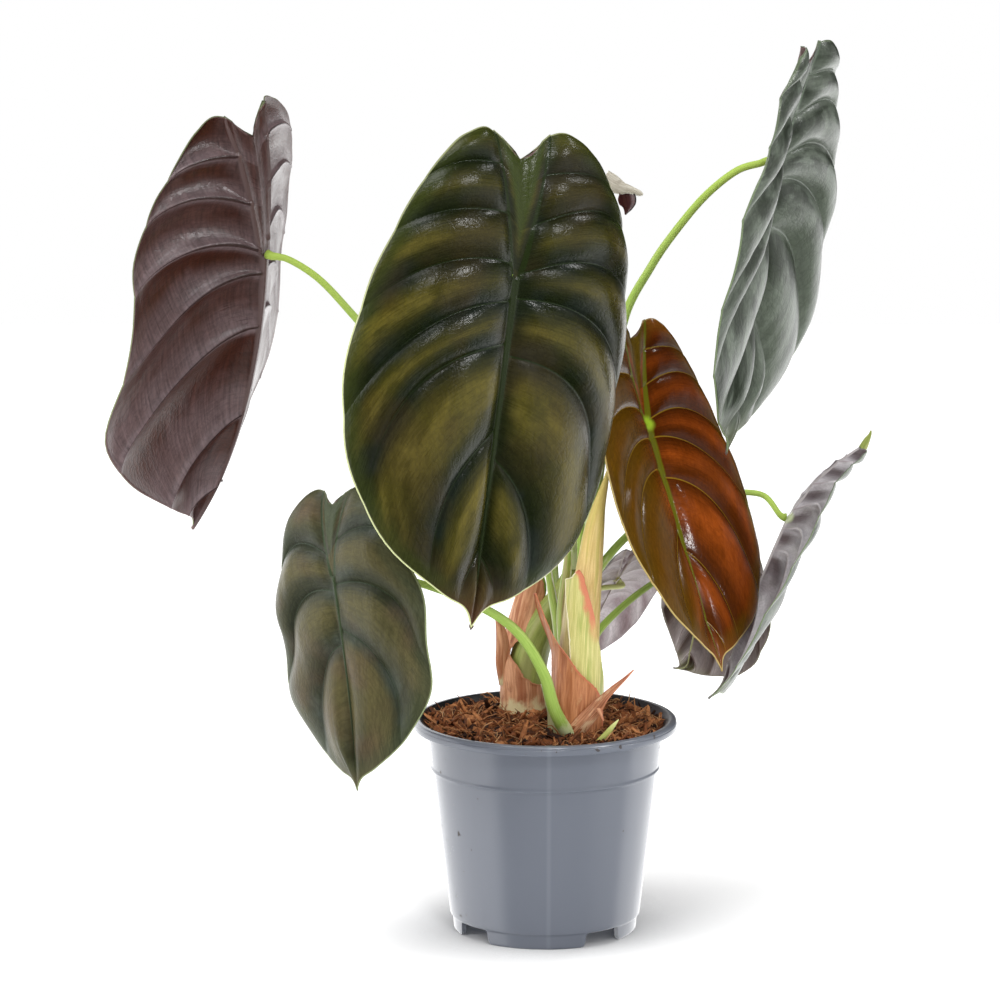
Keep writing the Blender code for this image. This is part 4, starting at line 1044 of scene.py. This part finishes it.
STEM_SKINS = {
    "petiole_skin": dict(
        dark=(0.27, 0.42, 0.07), light=STALK_GREEN, stripe=(0.44, 0.56, 0.15),
        foot=(0.58, 0.65, 0.34), top=(0.38, 0.52, 0.09), foot_share=0.12, roughness=0.5,
        bump=0.04, specular=0.2),
    "column_skin": dict(
        dark=(0.62, 0.42, 0.14), light=(0.84, 0.65, 0.30), stripe=(0.55, 0.47, 0.12),
        foot=(0.50, 0.45, 0.13), top=(0.62, 0.50, 0.13), foot_share=0.5, roughness=0.5,
        bump=0.2),
    "shoot_skin": dict(
        dark=(0.22, 0.27, 0.05), light=(0.34, 0.38, 0.10), stripe=(0.36, 0.36, 0.13),
        foot=(0.44, 0.30, 0.12), foot_share=0.3, stripe_size=2.5, bump=0.2),
    "inner_skin": dict(
        dark=(0.46, 0.40, 0.13), light=(0.70, 0.62, 0.32), stripe=(0.34, 0.14, 0.06),
        left=(0.86, 0.80, 0.62), right=(0.55, 0.50, 0.20), stripe_size=2.0),
    "front_skin": dict(
        dark=(0.52, 0.50, 0.14), light=(0.76, 0.70, 0.30), stripe=(0.36, 0.42, 0.09),
        left=(0.90, 0.84, 0.58), right=(0.70, 0.24, 0.13), left_width=0.7, right_width=4.6,
        stripe_size=2.6, roughness=0.42, right_from=0.45),
    "dry_skin": dict(
        dark=(0.42, 0.14, 0.050), light=(0.66, 0.29, 0.13), stripe=(0.32, 0.095, 0.035),
        blotch=(0.60, 0.38, 0.18), left=(0.40, 0.13, 0.06), right=(0.66, 0.22, 0.11),
        left_width=0.5, right_width=1.6, stripe_size=3.2, blotch_limits=(0.60, 0.78),
        roughness=0.46, fibre_bump=0.4, fibre_size=3.0),
    "left_dry_skin": dict(
        dark=(0.44, 0.17, 0.07), light=(0.74, 0.40, 0.22), stripe=(0.34, 0.11, 0.045),
        blotch=(0.30, 0.10, 0.05), foot=(0.70, 0.60, 0.34), left=(0.40, 0.15, 0.08),
        right=(0.54, 0.24, 0.12), left_width=0.5, right_width=1.2, stripe_size=2.8,
        foot_share=0.13, blotch_limits=(0.54, 0.72), roughness=0.55, bump=0.35, fibre_bump=0.5,
        fibre_size=3.0),
    # The curled rear tip's pale grey is partly its upper face's own colour and partly a painted
    # glancing sheen.
    "pale_skin": dict(
        dark=(0.42, 0.38, 0.30), light=(0.62, 0.59, 0.50), blotch=(0.30, 0.26, 0.20),
        right=(0.75, 0.75, 0.66), right_width=0.5, roughness=0.5, bump=0.2),
    "dark_skin": dict(
        dark=(0.040, 0.008, 0.008), light=(0.070, 0.014, 0.013), blotch=(0.022, 0.005, 0.006),
        left=(0.012, 0.004, 0.004), roughness=0.3, bump=0.2, specular=0.8),
    "wrap_skin": dict(
        dark=(0.36, 0.13, 0.055), light=(0.74, 0.36, 0.20), stripe=(0.24, 0.07, 0.03),
        blotch=(0.72, 0.50, 0.30), top=(0.26, 0.06, 0.03), left=(0.44, 0.16, 0.08),
        right=(0.60, 0.24, 0.13), left_width=0.4, right_width=0.8, stripe_size=0.6,
        roughness=0.6, bump=0.6, fibre_bump=1.0),
    "foot_skin": dict(
        dark=(0.46, 0.50, 0.20), light=(0.72, 0.72, 0.42), stripe=(0.60, 0.64, 0.40),
        left=(0.52, 0.60, 0.30), right=(0.84, 0.82, 0.66), right_width=0.9, roughness=0.42,
        bump=0.2),
    "wing_skin": dict(
        dark=(0.26, 0.38, 0.07), light=(0.40, 0.52, 0.13), stripe=(0.46, 0.36, 0.18),
        left=(0.60, 0.66, 0.34), right=(0.88, 0.88, 0.76), left_width=0.5, right_width=0.8,
        roughness=0.42, bump=0.2),
    "sprout_skin": dict(
        dark=(0.50, 0.58, 0.13), light=(0.66, 0.70, 0.24), top=(0.74, 0.76, 0.32), bump=0.15),
}
OTHER_SKINS = {
    "coir_fibre": (coir_skin, dict(dark=(0.022, 0.007, 0.003), middle=CHIP_BROWN,
                                   light=(0.60, 0.26, 0.10))),
    "coir_strand": (coir_skin, dict(dark=(0.13, 0.042, 0.014), middle=(0.42, 0.175, 0.065),
                                    light=(0.72, 0.44, 0.22))),
    "coir_bed": (bed_skin, dict(dark=(0.008, 0.003, 0.002), light=(0.04, 0.015, 0.007))),
    "pot_grey": (pot_skin, dict(tint=POT_GREY, roughness=0.23)),
    "pot_black": (pot_skin, dict(tint=(0.010, 0.011, 0.013), roughness=0.42)),
    "floor_white": (floor_skin, dict(tint=0.76, glow=0.60)),
}
SKINS = {**{name: (leaf_skin, settings) for name, settings in LEAF_SKINS.items()},
         **{name: (stem_skin, settings) for name, settings in STEM_SKINS.items()},
         **OTHER_SKINS}


def skin(name, **chosen):
    """Return a material by its name, made at its first use with any chosen colours."""
    if name not in bpy.data.materials:
        made = bpy.data.materials.new(name)
        made.use_nodes = True
        painter, settings = SKINS[name]
        painter(made.node_tree, **{**settings, **chosen})
    return bpy.data.materials[name]


# ---------------------------------------------------------------- settings

def length_setting(name, description, default, **more):
    """Return a setting for a length in metres."""
    return bpy.props.FloatProperty(name=name, description=description, default=default,
                                   unit="LENGTH", subtype="DISTANCE", **more)


def count_setting(name, description, default, least=0):
    """Return a setting for a whole number."""
    return bpy.props.IntProperty(name=name, description=description, default=default, min=least)


def level_setting(name, description, default):
    """Return a setting for a plain number."""
    return bpy.props.FloatProperty(name=name, description=description, default=default, min=0.0)


def colour_setting(name, description, default):
    """Return a setting for a linear colour."""
    return bpy.props.FloatVectorProperty(name=name, description=description, default=default,
                                         size=3, min=0.0, max=1.0, subtype="COLOR")


class AlocasiaPot(bpy.types.PropertyGroup):
    """Sizes and colour of the nursery pot."""
    rim_radius: length_setting("Rim radius", "Outer radius of the rolled rim",
                               (POT_HIGH.x - POT_LOW.x) / 2)
    height: length_setting("Height", "Height of the rim above the floor", POT_HIGH.z - POT_LOW.z)
    sides: count_setting("Sides", "Number of facets round the pot", 160, 24)
    colour: colour_setting("Pot colour", "Colour of the outside of the pot", POT_GREY)


class AlocasiaSoil(bpy.types.PropertyGroup):
    """Make-up of the coir surface."""
    chips: count_setting("Chips", "Number of coir chips on the surface", 1300)
    fibres: count_setting("Fibres", "Number of loose fibres", 700)
    seed: count_setting("Seed", "Start of the random placement", 7)
    colour: colour_setting("Chip colour", "Colour of an average coir chip", CHIP_BROWN)


class AlocasiaLeaves(bpy.types.PropertyGroup):
    """Fineness, thickness and colours of the leaves."""
    rows_per_panel: count_setting("Rows per panel", "Mesh rows between two side veins", 14, 4)
    columns: count_setting("Columns", "Mesh columns from midrib to margin", 34, 8)
    blade_thickness: length_setting("Blade thickness", "Thickness of a panel", 0.0005, precision=5)
    rib_thickness: length_setting(
        "Rib thickness", "Thickness of the midrib where the petiole joins", 0.0026, precision=5)
    gold: colour_setting("Gold bands", "Colour of the front blade's bright bands", BAND_GOLD)
    copper: colour_setting("Copper", "Colour of the copper blade's panels", PANEL_COPPER)
    stalk: colour_setting("Stalks", "Lighter colour of the petioles", STALK_GREEN)


class AlocasiaStage(bpy.types.PropertyGroup):
    """Camera, floor and light."""
    distance: length_setting("Camera distance", "Distance from the pot's axis to the camera", 2.0)
    lens: level_setting("Lens", "Focal length of the camera in millimetres", 161.8)
    camera_height: length_setting("Camera height", "Height of the camera above the floor", 0.554)
    look_down: bpy.props.FloatProperty(
        name="Look down", description="Angle of the camera below the horizon",
        default=radians(10.08), subtype="ANGLE")
    dome_light: level_setting("Dome light", "Strength of the white surround on dull surfaces", 0.42)
    band_light: level_setting("Band light", "Strength of the panel mirrored right of the plant", 0.9)
    panel_light: level_setting(
        "Panel light", "Brightness of the panels round the sides and back", 2.4)
    floor_size: length_setting("Floor size", "Side of the floor", 4.0)


# ---------------------------------------------------------------- operators

LAMP_TARGET = (AXIS[0], AXIS[1], 0.25)


def area_light(name, place, size, power, rays):
    """Add a soft rectangular light that faces the plant; rays says what it lights."""
    bpy.ops.object.light_add(type="AREA", location=place)
    lamp = bpy.context.object
    lamp.name = name
    lamp.data.shape = "RECTANGLE"
    lamp.data.size, lamp.data.size_y = size
    lamp.data.energy = power
    lamp.visible_glossy = rays != "dull"
    lamp.visible_diffuse = rays != "gloss"
    aim = Vector(LAMP_TARGET) - Vector(place)
    lamp.rotation_euler = aim.to_track_quat("-Z", "Y").to_euler()


def studio_world(tree, settings):
    """White world: an even dome on dull surfaces, bright panels only in reflections."""
    def panel(axis, low, high, light, *bands):
        """Return one panel's light, faded across by one axis and by bands of height."""
        found = ease(tree, axis, low, high, 0.0, light)
        for band in bands:
            found = times(tree, found, ease(tree, rise, *band))
        return found

    across, depth, rise = split(tree, put(tree, "TexCoord").outputs["Generated"])
    # Right of the plant a side panel is lit, and a low one on the far side.
    ahead = panel(across, 0.62, 0.86, settings.band_light, (-0.60, -0.35), (0.32, 0.10))
    far = panel(depth, -0.05, 0.2, settings.panel_light, (-0.05, -0.18), (-0.85, -0.6))
    rest = panel(depth, -0.65, -0.45, settings.panel_light, (0.2, 0.6, 1.0, 0.3),
                 (-0.75, -0.45, 0.3))
    turn = blend(tree, ease(tree, across, -0.1, 0.1), rest, calc(tree, "MAXIMUM", ahead, far))
    rays = put(tree, "LightPath").outputs
    mirror = blend(tree, rays["Is Glossy Ray"], settings.dome_light, turn)
    back = tree.nodes["Background"]
    back.inputs["Color"].default_value = (1.0, 1.0, 1.0, 1.0)
    tree.links.new(calc(tree, "MAXIMUM", mirror, rays["Is Camera Ray"]), back.inputs["Strength"])


CAMERA_SHIFT = -0.0206       # metres from the pot's axis to the camera, across
# Each lamp: name, place, size, power and what it lights.
LAMPS = (("top_front", (-0.35, -0.6, 2.1), (1.2, 0.9), 20.0, "both"),
         ("key_left", (-1.7, -0.7, 1.2), (0.9, 1.2), 13.0, "both"),
         ("window_front", (0.35, -1.55, 1.55), (0.3, 0.3), 8.0, "both"),
         ("glint_right", (1.6, 0.25, 1.6), (0.18, 0.18), 7.0, "gloss"),
         ("glint_front", (1.5, -1.1, 1.25), (0.2, 0.2), 13.0, "gloss"),
         ("low_front", (0.3, -1.5, 0.4), (1.0, 0.6), 4.0, "dull"),
         ("fill_right", (1.5, -0.9, 0.8), (1.0, 1.0), 4.5, "dull"),
         ("rim_right", (1.1, 0.9, 1.6), (0.3, 0.5), 7.0, "dull"))


class ALOCASIA_OT_stage(bpy.types.Operator):
    """Set the camera, the white floor and the soft studio light"""
    bl_idname = "alocasia.stage"
    bl_label = "Stage"

    def execute(self, context):
        settings = context.scene.alocasia_stage
        deselect()
        bpy.ops.object.camera_add(
            location=(AXIS[0] + CAMERA_SHIFT, AXIS[1] - settings.distance,
                      settings.camera_height),
            rotation=(pi / 2 - settings.look_down, 0.0, 0.0))
        camera = bpy.context.object
        camera.data.lens = settings.lens
        camera.data.sensor_width = 36.0
        camera.data.clip_end = 100.0
        context.scene.camera = camera
        bpy.ops.mesh.primitive_plane_add(size=settings.floor_size)
        floor = bpy.context.object
        floor.name = "floor"
        coat(floor, "floor_white")
        floor.visible_glossy = False
        for lamp in LAMPS:
            area_light(*lamp)
        world = bpy.data.worlds.new("Studio")
        world.use_nodes = True
        world.cycles.sampling_method = "NONE"
        studio_world(world.node_tree, settings)
        context.scene.world = world
        context.scene.view_settings.view_transform = "Standard"
        return {"FINISHED"}


class ALOCASIA_OT_leaves(bpy.types.Operator):
    """Build the nine quilted blades"""
    bl_idname = "alocasia.leaves"
    bl_label = "Leaves"

    def execute(self, context):
        settings = context.scene.alocasia_leaves
        skin("leaf_olive", gold=tuple(settings.gold))
        skin("leaf_copper", crest=tuple(settings.copper))
        for name, pose in BLADES.items():
            make_leaf(name, pose, settings)
        return {"FINISHED"}


class ALOCASIA_OT_petioles(bpy.types.Operator):
    """Build the petioles that carry the blades"""
    bl_idname = "alocasia.petioles"
    bl_label = "Petioles"

    def execute(self, context):
        skin("petiole_skin", light=tuple(context.scene.alocasia_leaves.stalk))
        for name in PETIOLES:
            axis, radius = petiole_path(name, 90)
            item = make_tube(f"stalk_{name}", axis, radius, 24, seed=PETIOLES[name][1])
            look = "sprout_skin" if name == "back_low" else "petiole_skin"
            finish_piece(item, (f"petiole_{name}",), (look,))
        return {"FINISHED"}


def ridged(angle, share):
    """Shallow lengthwise ribs round a stem."""
    ribs = [noise.noise(Vector((cos(a) * 3.2, sin(a) * 3.2, share * 1.5))) for a in angle]
    return 1.0 + 0.055 * np.array(ribs)


# Each row: name, stations, look, slot, and the CAD nodes that it stands for.
STEMS = (("main_shoot", MAIN_SHOOT, "column_skin", "shoot_green"),
         ("left_shoot", LEFT_SHOOT, "shoot_skin", "shoot_green"),
         ("new_shoot", NEW_SHOOT, "sprout_skin", "petiole_green"))
# The last three values are crease, ragged and flare.
SHEATHS = (("inner_sheath", INNER_SHEATH, "inner_skin", "sheath_pale", ("main_outer_sheath",),
            0.25, 3.0, 0.2),
           ("front_sheath", FRONT_SHEATH, "front_skin", "sheath_pale", (), 0.25, 3.0, 0.5),
           ("dry_sheath", DRY_SHEATH, "dry_skin", "sheath_dry", ("main_dry_sheath",),
            0.6, 6.0, 0.7),
           ("left_dry_wrap", LEFT_DRY_SHEATH, "left_dry_skin", "sheath_dry",
            ("left_dry_sheath",), 0.8, 6.0, 0.9),
           ("petiole_foot", PETIOLE_FOOT, "foot_skin", "sheath_pale", (), 0.3, 2.0, 0.3))
# The last two values are bow and crease.
RIBBONS = (("spike_wrap_leaf", SPIKE_WRAP, "wrap_skin", "sheath_dry", ("spike_wrap",), 0.5, 0.8),
           ("wrap_thorn", THORN, "wrap_skin", "sheath_dry", (), 0.6, 0.1),
           ("side_flap", SIDE_FLAP, "left_dry_skin", "sheath_dry", (), 0.5, 0.7),
           ("wing_left", WING_LEFT, "wing_skin", "petiole_green", (), 0.9, 0.1),
           ("wing_right", WING_RIGHT, "wing_skin", "petiole_green", (), 0.9, 0.1),
           ("rear_tip_pale", TIP_PALE, "pale_skin", "blade_underside", (), 0.5, 0.3),
           ("rear_tip_dark", TIP_DARK, "dark_skin", "blade_underside", (), -0.5, 0.1),
           ("lobe_curl", LOBE_CURL, "shoot_skin", "blade_underside", (), 0.7, 0.1))


class ALOCASIA_OT_shoots(bpy.types.Operator):
    """Build the shoots and the sheaths that wrap them"""
    bl_idname = "alocasia.shoots"
    bl_label = "Shoots and sheaths"

    def execute(self, context):
        for name, stations, look, slot in STEMS:
            axis = spline(stations, 90)
            item = make_tube(f"{name}_stem", axis[:, :3], axis[:, 3], 48, ridged)
            finish_piece(item, (name,), (look,))
        for name, stations, look, slot, replaces, *form in SHEATHS:
            shell = sheath_points(stations, 130, 90, *form, len(name))
            make_skin(name, shell, 0.35, replaces, look)
        for name, stations, look, slot, replaces, *form in RIBBONS:
            shell = ribbon_points(stations, 70, 18, *form, len(name))
            make_skin(name, shell, 0.4, replaces, look)
        return {"FINISHED"}


DRAWN_RADIUS, DRAWN_HEIGHT = 60.0, 98.0      # the rim's radius and height in pot_profile, mm


def pot_profile():
    """Return the pot's closed section as (radius, height) in mm, and where the inside starts."""
    outside = [
        (57.4, 97.98), (58.3, 98.0), (59.1, 97.8), (59.6, 97.3), (59.78, 96.75), (59.62, 96.45),
        (59.66, 96.2), (59.9, 95.95), (60.0, 95.2), (60.0, 94.3), (59.8, 93.75), (59.35, 93.5),
        (58.95, 93.6), (58.7, 94.1), (58.5, 95.0), (57.9, 95.45), (56.8, 95.4), (55.3, 95.0),
        (54.3, 94.2), (53.7, 93.1), (53.42, 91.8), (53.3, 90.0), (52.9, 86.0), (52.45, 81.0),
        (52.05, 77.0), (52.05, 76.6), (52.3, 76.1), (52.42, 75.7), (52.36, 75.3),
        (51.9, 75.05), (51.2, 74.8), (50.98, 74.3), (50.92, 73.5), (49.3, 59.0), (47.4, 42.0),
        (45.4, 24.5), (43.75, 10.0), (43.5, 7.7), (43.38, 7.25), (43.1, 6.95), (42.6, 6.8),
        (42.35, 6.5), (42.25, 5.8), (41.85, 1.2), (41.7, 0.45), (41.3, 0.05), (40.8, 0.0),
        (39.9, 0.0), (39.5, 0.3), (39.4, 1.0), (39.7, 6.6), (39.2, 7.0), (30.0, 7.0),
        (15.0, 7.0), (0.3, 7.0),
    ]
    inside = [
        (0.3, 8.2), (15.0, 8.2), (30.0, 8.2), (40.6, 8.2), (41.9, 8.7), (42.5, 10.0),
        (46.2, 42.0), (49.7, 73.5), (50.2, 74.7), (50.9, 76.3), (51.2, 81.0), (52.0, 89.0),
        (52.3, 92.0), (53.0, 94.0), (54.3, 95.6), (55.6, 96.8), (56.3, 97.5), (56.8, 97.9),
        (57.4, 97.98),
    ]
    return np.array(outside + inside), len(outside)


def cut_away(item, tool):
    """Subtract a closed tool from a piece and delete the tool."""
    modify(item, "BOOLEAN", object=tool, operation="DIFFERENCE", solver="EXACT")
    bpy.data.objects.remove(tool)


class ALOCASIA_OT_pot(bpy.types.Operator):
    """Turn the nursery pot: rolled rim, stepped wall, feet and drain holes"""
    bl_idname = "alocasia.pot"
    bl_label = "Pot"

    def execute(self, context):
        settings = context.scene.alocasia_pot
        skin("pot_grey", tint=tuple(settings.colour))
        section, inner_start = pot_profile()
        section = section * (settings.rim_radius / MM / DRAWN_RADIUS,
                             settings.height / MM / DRAWN_HEIGHT)
        angle = np.linspace(0.0, 2 * pi, settings.sides + 1)
        around = np.stack([np.sin(angle), -np.cos(angle)], axis=-1)
        points = np.concatenate([section[:, None, :1] * around[None],
                                 np.repeat(section[:, None, 1:], len(angle), 1)], axis=-1)
        pot = lattice("pot_shell", points[::-1])
        row = np.array([face.vertices[0] for face in pot.data.polygons]) // len(angle)
        black = (row < len(section) - inner_start).astype(np.int32)
        coat(pot, "pot_grey", "pot_black")
        pot.data.polygons.foreach_set("material_index", black)
        weld(pot, 0.002)
        close_tube(pot)
        for turn in POT_GAP_ANGLES:
            outward = np.array([sin(radians(turn)), -cos(radians(turn)), 0.0])
            sideways = np.array([cos(radians(turn)), sin(radians(turn)), 0.0])
            loop = GAP_HALF + tuple((-u, z) for u, z in reversed(GAP_HALF))
            loop = np.array([u * sideways + (0, 0, z) for u, z in loop + loop[:1]])
            tool = lattice("gap_tool", np.stack([loop + outward * reach for reach in GAP_REACH]))
            close_tube(tool)
            cut_away(pot, tool)
            deselect()
            bpy.ops.mesh.primitive_cylinder_add(
                vertices=24, radius=DRAIN_RADIUS * MM, depth=12 * MM,
                location=Vector(AXIS) + Vector(outward) * DRAIN_REACH * MM
                + Vector((0, 0, 7.5 * MM)))
            cut_away(pot, bpy.context.object)
        finish_piece(pot, ("nursery_pot",))
        activate(pot)
        bpy.ops.object.shade_smooth_by_angle(angle=radians(35))
        return {"FINISHED"}


CHIP_NOISE_SEED = 7
BED_RADIUS = 53.0            # mm, just inside the pot's wall
# Coir stays inside these radii at these heights, mm.
WALL_HEIGHTS = (80.0, 89.0, 92.0, 95.6, 97.5)
WALL_RADII = (50.6, 51.5, 51.8, 53.6, 55.6)
# The buried part of the bed, from under its surface to the pot's floor: radius and height, mm.
BED_BELOW = ((52.0, 92.0), (51.2, 88.0), (50.4, 79.0), (49.2, 72.0), (42.1, 10.0), (40.0, 9.0),
             (20.0, 9.0), (0.2, 9.0))


def coir_height(x, y):
    """Height in mm of the coir bed under a point, before its fine lumps."""
    out = hypot(x, y) / 51.0
    lump = noise.noise(Vector((x / 17.0, y / 17.0, 3.0))) + 0.6 * noise.noise(
        Vector((x / 7.0, y / 7.0, 9.0)))
    back_left = max(0.0, 1.0 - hypot(x + 38.0, y - 12.0) / 26.0)
    return 94.3 - 0.6 * out ** 2 + 1.1 * lump + 1.8 * back_left


def base_chip(kind):
    """One small coir shape, about 10 mm long: 0 a bent flake, 1 a crumb, 2 a long strip."""
    deselect()
    bpy.ops.mesh.primitive_cube_add(size=1.0)
    item = bpy.context.object
    edit(item, (bpy.ops.mesh.subdivide, dict(number_cuts=1)))
    size = np.array([(5.6, 2.6, 0.55), (3.2, 2.5, 1.6), (9.5, 1.5, 0.7)][kind])
    spots = np.array([vertex.co for vertex in item.data.vertices])
    round_off = 1.0 - 0.26 * (np.abs(spots * 2).sum(axis=1) > 2.5)[:, None]
    spots = spots * size * round_off
    spots[:, 2] += (0.05, 0.03, 0.03)[kind] * spots[:, 0] ** 2
    spots[:, 1] *= 1.0 - 0.07 * np.abs(spots[:, 0])
    spots += 0.22 * np.array([noise.noise_vector(Vector(p) * 1.3 + Vector((kind * 7, 0, 0)))
                              for p in spots])
    item.data.vertices.foreach_set("co", (spots * MM).ravel())
    return item


def base_fibre(kind):
    """One coir strand, a three-sided tube about 14 mm long with its own curl."""
    share = np.linspace(0.0, 1.0, 8)
    curl = (0.5, 1.6, 2.6)[kind]
    path = np.stack([14 * (share - 0.5), 2.2 * np.sin(curl * pi * share),
                     1.3 * np.sin(2.2 * pi * share + kind)], axis=-1)
    thickness = np.array([0.10, 0.22, 0.26, 0.27, 0.26, 0.22, 0.16, 0.06])
    item = lattice("fibre", tube_points(path, thickness, 3) - AXIS / MM)
    close_tube(item)
    return item


def keep_in_pot(item):
    """Draw points that lie outside the pot's inner wall back to it."""
    spots = np.array([vertex.co for vertex in item.data.vertices]) - AXIS
    radius = np.hypot(spots[:, 0], spots[:, 1])
    wall = np.interp(spots[:, 2] / MM, WALL_HEIGHTS, WALL_RADII)
    shrink = np.minimum(1.0, wall * MM / np.maximum(radius, 1e-6))
    spots[:, :2] *= shrink[:, None]
    item.data.vertices.foreach_set("co", (spots + AXIS).ravel())
    item.data.update()


def scatter(name, maker, count, dice, reach, lift, tilt, sizes, look):
    """Copy three small shapes over the coir bed and join them into one piece."""
    shapes = [maker(kind) for kind in range(3)]
    for shape in shapes:
        tag(shape, "tone", np.zeros(len(shape.data.vertices)))
    copies = []
    for _ in range(count):
        shape = shapes[dice.integers(len(shapes))]
        radius, turn = reach * dice.random() ** 0.5, dice.uniform(0, 2 * pi)
        x, y = radius * cos(turn), radius * sin(turn)
        high = coir_height(x, y) + dice.uniform(*lift)
        copy = shape.copy()
        copy.data = shape.data.copy()
        bpy.context.collection.objects.link(copy)
        spin = Matrix.Rotation(dice.uniform(0, 2 * pi), 4, "Z")
        lean = Matrix.Rotation(dice.normal(0, tilt), 4, "Y")
        roll = Matrix.Rotation(dice.normal(0, tilt * 1.5), 4, "X")
        size = sizes[0] + (sizes[1] - sizes[0]) * dice.random() ** 2
        grow = Matrix.Diagonal((*(size * dice.uniform(0.75, 1.3, 3)), 1.0))
        spot = Vector(AXIS) + Vector((x, y, high)) * MM
        copy.data.transform(Matrix.Translation(spot) @ spin @ lean @ roll @ grow)
        copy.data.attributes["tone"].data.foreach_set(
            "value", np.full(len(copy.data.vertices), dice.random(), dtype=np.float32))
        copies.append(copy)
    for shape in shapes:
        bpy.data.objects.remove(shape)
    deselect()
    for copy in copies:
        copy.select_set(True)
    item = bpy.context.view_layer.objects.active = copies[0]
    bpy.ops.object.join()
    item.name = item.data.name = name
    keep_in_pot(item)
    finish_piece(item, (), (look,))


class ALOCASIA_OT_soil(bpy.types.Operator):
    """Build the coir bed, its chips and its loose fibres"""
    bl_idname = "alocasia.soil"
    bl_label = "Coir"

    def execute(self, context):
        settings = context.scene.alocasia_soil
        skin("coir_fibre", middle=tuple(settings.colour))
        around = [(sin(angle), cos(angle)) for angle in np.linspace(0.0, 2 * pi, 121)]
        rings = []
        for radius in np.linspace(0.2, BED_RADIUS, 36):
            rings.append([])
            for x, y in ((radius * u, radius * v) for u, v in around):
                lump = 0.8 * noise.noise(Vector((x, y, 0)) / 2.2)
                rings[-1].append((x, -y, coir_height(x, -y) + lump))
        for radius, high in BED_BELOW:
            rings.append([(radius * u, -radius * v, high) for u, v in around])
        bed = lattice("coir_bed", np.array(rings))
        close_tube(bed)
        finish_piece(bed, ("substrate",), ("coir_bed",))
        dice = np.random.default_rng(settings.seed)
        # noise_vector would otherwise start from the clock.
        noise.seed_set(CHIP_NOISE_SEED)
        scatter("coir_chips", base_chip, settings.chips, dice, reach=53.6, lift=(-0.4, 1.6),
                tilt=0.42, sizes=(0.7, 2.1), look="coir_fibre")
        scatter("coir_fibres", base_fibre, settings.fibres, dice, reach=52.5, lift=(0.4, 2.6),
                tilt=0.30, sizes=(0.5, 1.5), look="coir_strand")
        return {"FINISHED"}


class ALOCASIA_PT_panel(bpy.types.Panel):
    """Lists the plant's steps and their settings"""
    bl_label = "Alocasia"
    bl_idname = "ALOCASIA_PT_panel"
    bl_space_type = "VIEW_3D"
    bl_region_type = "UI"
    bl_category = "Alocasia"

    def draw(self, context):
        for step in STEPS:
            self.layout.operator(step.bl_idname)
        for group in SETTINGS:
            box = self.layout.box()
            values = getattr(context.scene, group)
            for key in SETTINGS[group].__annotations__:
                box.prop(values, key)


STEPS = (ALOCASIA_OT_stage, ALOCASIA_OT_pot, ALOCASIA_OT_soil, ALOCASIA_OT_shoots,
         ALOCASIA_OT_petioles, ALOCASIA_OT_leaves)
SETTINGS = {"alocasia_pot": AlocasiaPot, "alocasia_soil": AlocasiaSoil,
            "alocasia_leaves": AlocasiaLeaves, "alocasia_stage": AlocasiaStage}


def register():
    """Register the settings, the steps and the panel."""
    for name, group in SETTINGS.items():
        bpy.utils.register_class(group)
        setattr(bpy.types.Scene, name, bpy.props.PointerProperty(type=group))
    for step in (*STEPS, ALOCASIA_PT_panel):
        bpy.utils.register_class(step)


def unregister():
    """Remove the panel, the steps and the settings."""
    for step in (ALOCASIA_PT_panel, *reversed(STEPS)):
        bpy.utils.unregister_class(step)
    for name, group in SETTINGS.items():
        delattr(bpy.types.Scene, name)
        bpy.utils.unregister_class(group)


def main():
    """Run every step in order."""
    register()
    bpy.ops.alocasia.stage()
    bpy.ops.alocasia.pot()
    bpy.ops.alocasia.soil()
    bpy.ops.alocasia.shoots()
    bpy.ops.alocasia.petioles()
    bpy.ops.alocasia.leaves()


if __name__ == "__main__":
    main()
